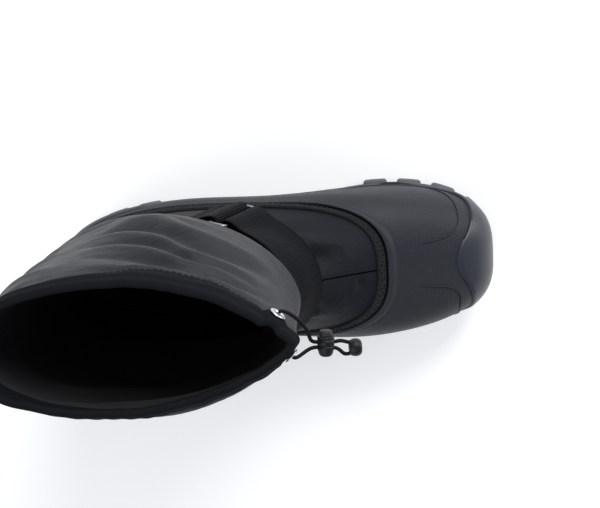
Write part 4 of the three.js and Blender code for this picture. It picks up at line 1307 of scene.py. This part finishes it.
def seam_stitches(length):
    """Double rows down the quarters' front edges and the back seam, and one round the hem."""
    forms = []
    for side in (-1, 1):
        for inset in (0.0055, 0.0115):
            nodes = [(0.5 + side * (0.5 - t + inset), level) for t, level in reversed(QUARTER_STITCHES)]
            forms.append(stitch_row(nodes, 0.62, length, radius=0.2))
    for side in (-1, 1):
        shaft = [(side * 0.011, level) for level in (10.7, 12, 13.5, 14.9)]
        forms.append(stitch_row(shaft, 0.12, length, radius=0.2, surface=worn))
        heel = [(side * 0.010, level) for level in (5.6, 7, 8.5, 9.9)]
        forms.append(stitch_row(heel, 0.62, length, radius=0.2))
    loop = np.linspace(0, 1, 1201)
    hem = np.stack([loop, np.full_like(loop, HEM_SEAM)], -1)
    forms.append(stitch_row(hem, 0.12, length, 0.9, radius=0.22, closed=True, surface=worn))
    return joined(forms)


def build_stitches(colours, sizes):
    length = sizes.stitch / MM
    thread = spun_thread("Thread", colours.thread)
    put("binding_stitches", binding_stitches(sizes.binding_width, length), thread)
    # a thin half-sunk bead along the vamp's middle seam; its near-black nylon is painted shade for the seam's
    # groove
    fold = bead([(0.5, 5.22), (0.5, 6.2), (0.5, 7.2), (0.5, 8.2)], 0.5, -0.1, fade=False)
    dark = tuple(0.2 * c for c in colours.vamp)
    put("vamp_seam", fold, nylon_cloth("Seam Fold", dark, 0.0, 0.95, 0.0))
    seam_thread = spun_thread("Seam Thread", tuple(0.7 * c for c in colours.thread))
    put("seam_stitches", seam_stitches(length), seam_thread)


# ---------------------------------------------------------------- strap, tab and ring

WEB_WIDTH, WEB_THICK, WEB_LAYER, WEB_CLEAR = 38, 1.5, 0.4, 1
STRAP_START, STRAP_END, TAB_START, TAB_END = -86, -62, 22, 20  # strap from its crest, tab from its bar
STRAP_NORMAL = np.array([-0.4555, 0, 0.8902])  # across the strap's width
STRAP_CREST = np.array([177.5, 0, 131.5])  # under the strap's middle, on the instep
RING_INSIDE, RING_GAP, RING_BAR, RING_CORNER, RING_THICK, RING_ROOM = 40, 9, 3, 2, 2.4, 1
RING_FROM_CREST = 64  # along the strap, from its crest to the ring's near bar
TAB_BAR = RING_FROM_CREST + RING_BAR + RING_GAP
RING_MIDDLE = RING_FROM_CREST + (RING_BAR + RING_GAP) / 2
BAR_STEPS = 12  # steps of the half turn round a bar
TURN_AHEAD = RING_BAR / 2 + RING_ROOM + WEB_THICK / 2
TURN_OVER = RING_THICK / 2 + RING_ROOM + WEB_THICK / 2
RING_OFFSET = WEB_CLEAR + WEB_THICK / 2 + TURN_OVER

STRAP_W = np.arange(-21.0, 21.5, 1.0)
STRAP_ALONG = np.arange(-112.0, 113.0, 1.0)
STRAP_TURNS = 66  # steps of turn each way from the crest that are searched for the strap's line


def strap_table():
    """(turn, level) under the strap for each place across and along it."""
    above = LEVEL_TABLE[(TOPLINE - 1) * LEVEL_STEPS :]
    turns = 0.5 - np.arange(-STRAP_TURNS, STRAP_TURNS + 1) * 0.005
    heights = [np.maximum.accumulate(look_up(SURFACE, turn, above) @ STRAP_NORMAL) for turn in turns]
    made = []
    for w in STRAP_W:
        want = STRAP_NORMAL @ STRAP_CREST + w
        levels = np.array([np.interp(want, height, above) for height in heights])
        run = run_along(look_up(SURFACE, turns, levels))
        run -= run[STRAP_TURNS]
        made.append(columns_at(STRAP_ALONG, run, np.stack([turns, levels], -1)))
    return np.array(made)


STRAP_TABLE = strap_table()


def strap_arrays(along, w, offset):
    return np.broadcast_arrays(*(np.asarray(a, float) for a in (along, w, offset)))


def instep(along, w, offset):
    """A place over the instep: along the strap, w across from its middle, and off the boot's outside."""
    along, w, offset = strap_arrays(along, w, offset)
    c = np.clip(along - STRAP_ALONG[0], 0, len(STRAP_ALONG) - 1.001)
    r = np.clip(w - STRAP_W[0], 0, len(STRAP_W) - 1.001)
    i, j = np.floor(r).astype(int), np.floor(c).astype(int)
    a, b = (r - i)[..., None], (c - j)[..., None]
    low = mix(STRAP_TABLE[i, j], STRAP_TABLE[i, j + 1], b)
    at = mix(low, mix(STRAP_TABLE[i + 1, j], STRAP_TABLE[i + 1, j + 1], b), a)
    return skin(at[..., 0], at[..., 1], offset)


def ring_seat():
    """The ring's place: along the strap, across it, and off the upper."""
    front, back = (instep(RING_MIDDLE, edge, RING_OFFSET) for edge in (WEB_WIDTH / 2, -WEB_WIDTH / 2))
    along = unit(instep(RING_MIDDLE + 6, 0, 0) - instep(RING_MIDDLE - 6, 0, 0))
    across = front - back
    across = unit(across - along * (across @ along))
    return seat_of(along, across, np.cross(along, across), (front + back) / 2)


RING_SEAT = ring_seat()


def strap_point(along, w, offset):
    """A place on the strap, which lies on the upper and straightens out to lie flat at the ring."""
    along, w, offset = strap_arrays(along, w, offset)
    flat = 1 - smooth(np.abs(along - RING_MIDDLE), 9, 24)
    on_ring = seated(np.stack([along - RING_MIDDLE, w, offset - RING_OFFSET], -1), RING_SEAT)
    return mix(instep(along, w, offset), on_ring, flat[..., None])


def webbing_stations(start, bar_at, end, step):
    """(along, offset, tilt) rows: out to the bar, round it in a half turn, and back over itself."""
    under = WEB_CLEAR + WEB_THICK / 2
    over = under + WEB_THICK + WEB_LAYER
    towards = math.copysign(1, bar_at - start)
    count = int(abs(bar_at - start) / step)
    stations = [(mix(start, bar_at, k / count), under, 0.0) for k in range(count + 1)]
    for angle in (math.pi * k / BAR_STEPS for k in range(1, BAR_STEPS)):
        along = bar_at + towards * TURN_AHEAD * math.sin(angle)
        stations.append((along, under + TURN_OVER * (1 - math.cos(angle)), angle))
    count = int(abs(end - bar_at) / step)
    for k in range(count + 1):
        along = mix(bar_at, end, k / count)
        spread = 1 - smooth(abs(along - bar_at), 0, 14)
        stations.append((along, mix(over, under + 2 * TURN_OVER, spread), math.pi))
    return stations


def webbing(start, bar_at, end, step, round_end):
    """Webbing that lies on the upper, turns round a bar and comes back over itself."""
    towards = math.copysign(1, bar_at - start)
    half = WEB_WIDTH / 2
    section = rounded(half, WEB_THICK / 2, 0.62, 3, 22)
    grid, lay, run, before = [], [], 0.0, None
    for along, offset, tilt in webbing_stations(start, bar_at, end, step):
        reach, left = half, abs(end - along)
        if round_end and tilt == math.pi and left < half:
            reach = max(math.sqrt(max(half**2 - (half - left) ** 2, 0)), half * 0.08)
        w = section[:, 0] * reach / half
        push = section[:, 1]
        row = strap_point(along + towards * push * math.sin(tilt), w, offset - push * math.cos(tilt))
        run += 0 if before is None else float(np.linalg.norm(row.mean(0) - before))
        before = row.mean(0)
        grid.append(row)
        lay.append(np.stack([np.full(len(w), run), w, push], -1))
    return bar_form(np.array(grid), np.array(lay))


def box_stitch(centre, half_along, half_across, offset):
    """Stitches in a box with a cross, through the webbing's layers."""
    paths = [(-1, -1), (1, -1), (1, 1), (-1, 1), (-1, -1), (1, 1)], [(1, -1), (-1, 1)]
    starts, ends, normals = [], [], []
    for path in paths:
        corners = [np.array([centre + a * half_along, b * half_across]) for a, b in path]
        for p0, p1 in zip(corners, corners[1:]):
            count = max(2, int(np.linalg.norm(p1 - p0) / 3.2))
            for k in range(count):
                s = mix(p0, p1, k / count)
                e = mix(p0, p1, (k + 0.75) / count)
                a, b = strap_point(s[0], s[1], offset), strap_point(e[0], e[1], offset)
                starts.append(a)
                ends.append(b)
                normals.append(unit(strap_point(s[0], s[1], offset + 1) - a))
    return threads(starts, ends, normals, 0.24, 0.25)


def build_webbing(colours):
    cloth = ribbed_webbing("Webbing", colours.webbing)
    strap = webbing(STRAP_START, RING_FROM_CREST, STRAP_END, 1.6, True)
    put("strap_webbing", strap, cloth, ["instep_strap"])
    tab = webbing(TAB_BAR + TAB_START, TAB_BAR, TAB_BAR + TAB_END, 1.2, False)
    put("tab_webbing", tab, cloth, ["ring_tab"])
    top = WEB_CLEAR + 2 * WEB_THICK + WEB_LAYER
    stitches = box_stitch(TAB_BAR + 13.5, 4.5, 15.0, top + 0.05)
    put("webbing_stitches", stitches, spun_thread("Webbing Thread", colours.thread))


def build_ring(colours):
    middle = RING_BAR / 2  # from the ring's inside to the middle of its bar
    path = rounded(RING_GAP / 2 + middle, RING_INSIDE / 2 + middle, RING_CORNER + middle, 8)
    path = even(np.concatenate([path, path[:1]]), 0.8)[:-1]
    centre = np.stack([path[:, 0], path[:, 1], 0 * path[:, 0]], -1)
    ahead = unit(np.roll(centre, -1, 0) - np.roll(centre, 1, 0))
    side = np.cross(ahead, (0, 0, 1))
    section = rounded(RING_BAR / 2, RING_THICK / 2, 1.0, 4)
    across, up = section[None, :, :1], section[None, :, 1:]
    grid = centre[:, None] + side[:, None] * across + np.array([0, 0, 1.0]) * up
    nickel = plain_metal("Nickel", tuple(0.45 * c for c in colours.metal))
    put("steel_ring", ring_form(seated(grid, RING_SEAT)), nickel, ["strap_ring"])


# ---------------------------------------------------------------- drawcord and its fittings

LOCK_RADIUS, LOCK_LENGTH, LOCK_TAPER = 4.8, 10, 3.2
BUTTON_RADIUS, BUTTON_LENGTH = 3.6, 3
LOCK_AT = np.array([197.3, -8.6, 260.5])
LOCK_TURN = -0.05  # the barrel's long axis, turned in plan from straight across
LOCK_STRANDS = 1.5  # half the distance between the two strands in the lock
END_RADIUS, END_NECK, END_LENGTH, END_DROOP = 5, 4.2, 7, 0.15
END_AT = np.array([210, -11.8, 257])
END_STRANDS = 3  # half the distance between the two strands at the end piece
EYELET_PROUD = 0.9
STRAND_BENDS = {"medial": [(181, 9.5, 266.5), (187.5, 1.5, 264.5)], "lateral": []}
STRAND_LEAVE = 3.2  # a strand stands this far off the collar before it turns
STRAND_EASING = 14  # rounds of smoothing that ease a strand's bends


def collar_seat(name):
    turn, level = EYELET_SEATS[name]
    off = outward(turn, level)
    side = unit(np.cross((0, 0, 1), off))
    return seat_of(side, np.cross(off, side), off, look_up(SURFACE, turn, level))


def from_lock(x, y, z):
    """A place given from the lock's middle: x ahead, y to the inner side, z up."""
    c, s = math.cos(LOCK_TURN), math.sin(LOCK_TURN)
    return np.array([c * x - s * y, s * x + c * y, z]) + LOCK_AT


def strand_line(name):
    """A strand's way: out of its eyelet, through the lock and round into the end piece."""
    side = 1 if name == "medial" else -1
    seat = collar_seat(name)
    mouth = seat[:3, 3] + seat[:3, 2] * (GAP + EYELET_PROUD + GAP)
    leave = seat[:3, 3] + seat[:3, 2] * STRAND_LEAVE
    places = [
        mouth, leave, *STRAND_BENDS[name],
        from_lock(-LOCK_RADIUS - 3.5, side * (LOCK_STRANDS + 0.3), 0.6),
        from_lock(-LOCK_RADIUS - 0.6, side * LOCK_STRANDS, 0.2),
        from_lock(0, side * LOCK_STRANDS, 0),
        from_lock(LOCK_RADIUS + 0.6, side * LOCK_STRANDS, -0.2),
        from_lock(LOCK_RADIUS + 3.2, 2.5 if side > 0 else -3.4, -1.4),
        END_AT + (-2.8, side * 3.9, 0.4),
        END_AT + (0, side * (END_STRANDS + 0.1), 0.1),
        END_AT + (2.6, side * (END_STRANDS - 0.2), -0.3),
    ]
    line = even(curve_through(places, 10), 0.8)
    for _ in range(STRAND_EASING):
        line[1:-1] = (line[:-2] + 2 * line[1:-1] + line[2:]) / 4
    return line


def lock_profile():
    """The barrel's (radius, height) rows: a tapered foot, two grooves and a mouth for the button."""
    r, half = LOCK_RADIUS, LOCK_LENGTH / 2
    rows = [
        (0.2, -half - 1.5), (LOCK_TAPER - 0.7, -half - 1.5), (LOCK_TAPER, -half - 1.1),
        (LOCK_TAPER + 0.7, -half), (r - 0.6, -half + 1.2), (r - 0.1, -half + 2.6), (r, -half + 3.2),
    ]
    for z in (-0.6, 3.0):
        rows += [(r, z), (r - 0.45, z + 0.2), (r - 0.45, z + 0.5), (r, z + 0.7)]
    return rows + [
        (r, half - 0.6), (r - 0.25, half - 0.15), (r - 0.7, half),
        (BUTTON_RADIUS + 0.2, half), (BUTTON_RADIUS + 0.1, half - 0.5), (0.2, half - 0.5),
    ]


def button_profile():
    r, base = BUTTON_RADIUS, LOCK_LENGTH / 2 + GAP
    top = base + BUTTON_LENGTH
    return [
        (0.2, base - 0.5), (r - 0.1, base - 0.5), (r, base), (r, top - 0.9),
        (r - 0.3, top - 0.3), (r - 0.9, top), (r - 1.5, top - 0.15), (0.2, top - 0.5),
    ]


def end_profile():
    r, top = END_RADIUS, END_LENGTH
    return [
        (0.2, 0), (END_NECK - 0.5, 0), (END_NECK, 0.5), (r - 0.4, 1.5), (r, 2.8),
        (r, top - 2.8), (r - 0.35, top - 1.4), (r - 1.3, top - 0.3), (r - 2.3, top), (0.2, top),
    ]


def build_drawcord(colours, sizes):
    seat = np.array(Matrix.Rotation(LOCK_TURN, 4, "Z") @ Matrix.Rotation(-math.pi / 2, 4, "X"))
    seat[:3, 3] = LOCK_AT
    end_seat = np.array(Matrix.Rotation(math.pi / 2 + END_DROOP, 4, "Y"))
    end_seat[:3, 3] = END_AT
    plastic = moulded_plastic("Lock Plastic", colours.plastic, 0.38)
    grey = moulded_plastic("Button Plastic", colours.button, 0.4)
    lock = put("lock_barrel", lathe(lock_profile(), 40, seat), plastic, ["cord_lock"])
    button = put("lock_button", lathe(button_profile(), 36, seat), grey, ["cord_lock_button"])
    end = put("cord_bead", lathe(end_profile(), 40, end_seat), plastic, ["cord_end"])
    braid = braided_cord("Braid", colours.cord)
    for name in ("medial", "lateral"):
        line = strand_line(name)
        section = circle(sizes.cord / MM / 2, 14)
        form = swept(line, np.broadcast_to((0.0, 0.0, 1.0), line.shape), section)
        cord = put("cord_" + name, form, braid, ["drawcord_" + name, "drawcord_loop_" + name])


# An eyelet's barrel and rolled flange: (radius, height) rows round its hole.
EYELET_PROFILE = [
    (1.8, -1.8), (2.8, -1.8), (2.8, 0.2), (4.3, 0.2), (4.75, 0.35), (4.8, 0.6), (4.5, 0.95),
    (3.9, 1.18), (3.1, 1.22), (2.4, 1.05), (1.95, 0.7), (1.8, 0.3), (1.8, -1.8),
]


def build_eyelets(colours):
    metal = plain_metal("Eyelet Metal", colours.metal)
    for name in EYELET_SEATS:
        eyelet = lathe(EYELET_PROFILE, 48, collar_seat(name))
        put("rim_eyelet_" + name, eyelet, metal, ["eyelet_" + name])


# ---------------------------------------------------------------- stage

EYE = np.array([229.5, 151.3, 927.2])
AIM = np.array([168.9, 0.3, 0.0])
RIGHT = np.array([1, -0.048, 0.0])  # the camera's right, before it is squared with its aim
LENS = 74.31
FLOOR_REACH = 6.0  # metres


def build_camera():
    back = unit(EYE - AIM)
    right = unit(RIGHT - back * (RIGHT @ back))
    camera = bpy.data.cameras.new("camera")
    camera.lens, camera.sensor_width = LENS, 36
    camera.clip_start, camera.clip_end = 0.02, 20
    holder = bpy.data.objects.new("camera", camera)
    holder.matrix_world = Matrix(seat_of(right, np.cross(back, right), back, metres(EYE)).tolist())
    bpy.context.scene.collection.objects.link(holder)
    bpy.context.scene.camera = holder


def area_light(name, place, aim, size, watts, colour=(1, 1, 1)):
    light = bpy.data.lights.new(name, "AREA")
    light.shape, light.size, light.energy, light.color = "DISK", size, watts, colour
    holder = bpy.data.objects.new(name, light)
    holder.location = place
    holder.rotation_mode = "QUATERNION"
    holder.rotation_quaternion = (Vector(aim) - Vector(place)).to_track_quat("-Z", "Y")
    bpy.context.scene.collection.objects.link(holder)


def build_stage(colours):
    scene = bpy.context.scene
    world = bpy.data.worlds.new("studio")
    world.use_nodes = True
    sky = world.node_tree.nodes["Background"].inputs
    sky["Color"].default_value = (0.86, 0.92, 1.0, 1)
    sky["Strength"].default_value = 0.40
    scene.world = world
    scene.view_settings.view_transform = "Standard"
    area_light("key", (0.55, 1.45, 1.15), (0.0, 0.0, 0.1), 1.1, 30)
    area_light("fill", (-0.7, -0.8, 1.7), (0.0, 0.0, 0.05), 1.6, 17)
    area_light("toe", (1.4, 0.55, 0.35), (0.12, 0.0, 0.03), 0.6, 7)
    f = Finish("Floor Paper")
    base = f.shade(f.noise(f.place(), 400, 1), tone(colours.floor, 0.985), tone(colours.floor))
    paper = f.surface(base, 0.9, Specular_IOR_Level=0.1, Emission_Color=(1, 1, 1, 1), Emission_Strength=0.22)
    mesh = bpy.data.meshes.new("floor")
    corners = [(x * FLOOR_REACH, y * FLOOR_REACH, 0) for x, y in ((-1, -1), (1, -1), (1, 1), (-1, 1))]
    mesh.from_pydata(corners, [], [(0, 1, 2, 3)])
    mesh.materials.append(paper)
    floor = bpy.data.objects.new("floor", mesh)
    scene.collection.objects.link(floor)


# ---------------------------------------------------------------- operators and panel

def settings(context):
    return context.scene.snow_boot_colours, context.scene.snow_boot_sizes


class SNOWBOOT_OT_stage(bpy.types.Operator):
    """Set up the camera, floor and soft light"""

    bl_idname = "snowboot.stage"
    bl_label = "Stage"

    def execute(self, context):
        colours, _ = settings(context)
        build_camera()
        build_stage(colours)
        return {"FINISHED"}


class SNOWBOOT_OT_drawcord(bpy.types.Operator):
    """Run the drawcord through its lock and end piece"""

    bl_idname = "snowboot.drawcord"
    bl_label = "Drawcord"

    def execute(self, context):
        build_drawcord(*settings(context))
        return {"FINISHED"}


class SNOWBOOT_OT_eyelets(bpy.types.Operator):
    """Set the two eyelets in the collar"""

    bl_idname = "snowboot.eyelets"
    bl_label = "Eyelets"

    def execute(self, context):
        colours, _ = settings(context)
        build_eyelets(colours)
        return {"FINISHED"}


class SNOWBOOT_OT_upper(bpy.types.Operator):
    """Make the folded nylon upper with its lining"""

    bl_idname = "snowboot.upper"
    bl_label = "Upper"

    def execute(self, context):
        build_upper(*settings(context))
        return {"FINISHED"}


class SNOWBOOT_OT_quarters(bpy.types.Operator):
    """Lay the heavy cloth over the sides of the heel"""

    bl_idname = "snowboot.quarters"
    bl_label = "Quarters"

    def execute(self, context):
        build_quarters(*settings(context))
        return {"FINISHED"}


class SNOWBOOT_OT_shell(bpy.types.Operator):
    """Mould the rubber shell, its raised lines and the toe overlay"""

    bl_idname = "snowboot.shell"
    bl_label = "Shell"

    def execute(self, context):
        colours, sizes = settings(context)
        build_shell(colours, sizes)
        build_shell_lines(colours)
        build_bumper(colours)
        return {"FINISHED"}


class SNOWBOOT_OT_sole(bpy.types.Operator):
    """Mould the outsole with its lugs, and lay the insole"""

    bl_idname = "snowboot.sole"
    bl_label = "Sole"

    def execute(self, context):
        colours, _ = settings(context)
        build_sole(colours)
        build_insole(colours)
        return {"FINISHED"}


class SNOWBOOT_OT_binding(bpy.types.Operator):
    """Bind the shell's edge with stitched tape and sew the seams"""

    bl_idname = "snowboot.binding"
    bl_label = "Binding"

    def execute(self, context):
        build_binding(*settings(context))
        build_stitches(*settings(context))
        return {"FINISHED"}


class SNOWBOOT_OT_strap(bpy.types.Operator):
    """Lay the strap and the ring tab, and hang the ring between them"""

    bl_idname = "snowboot.strap"
    bl_label = "Strap"

    def execute(self, context):
        colours, _ = settings(context)
        build_webbing(colours)
        build_ring(colours)
        return {"FINISHED"}


OPERATORS = (
    SNOWBOOT_OT_stage, SNOWBOOT_OT_drawcord, SNOWBOOT_OT_eyelets, SNOWBOOT_OT_upper, SNOWBOOT_OT_quarters,
    SNOWBOOT_OT_shell, SNOWBOOT_OT_sole, SNOWBOOT_OT_binding, SNOWBOOT_OT_strap,
)


class SNOWBOOT_PT_panel(bpy.types.Panel):
    """The boot's pieces, sizes and colours"""

    bl_idname = "SNOWBOOT_PT_panel"
    bl_label = "Snow Boot"
    bl_space_type = "VIEW_3D"
    bl_region_type = "UI"
    bl_category = "Snow Boot"

    def draw(self, context):
        colours, sizes = settings(context)
        for group in (sizes, colours):
            for key in group.__annotations__:
                self.layout.prop(group, key)
        for operator in OPERATORS:
            self.layout.operator(operator.bl_idname)


CLASSES = (BootColours, BootSizes, *OPERATORS, SNOWBOOT_PT_panel)


def register():
    for made in CLASSES:
        bpy.utils.register_class(made)
    bpy.types.Scene.snow_boot_colours = bpy.props.PointerProperty(type=BootColours)
    bpy.types.Scene.snow_boot_sizes = bpy.props.PointerProperty(type=BootSizes)


def unregister():
    del bpy.types.Scene.snow_boot_sizes
    del bpy.types.Scene.snow_boot_colours
    for made in reversed(CLASSES):
        bpy.utils.unregister_class(made)


def main():
    register()
    for operator in OPERATORS:
        space, name = operator.bl_idname.split(".")
        getattr(getattr(bpy.ops, space), name)()


if __name__ == "__main__":
    main()
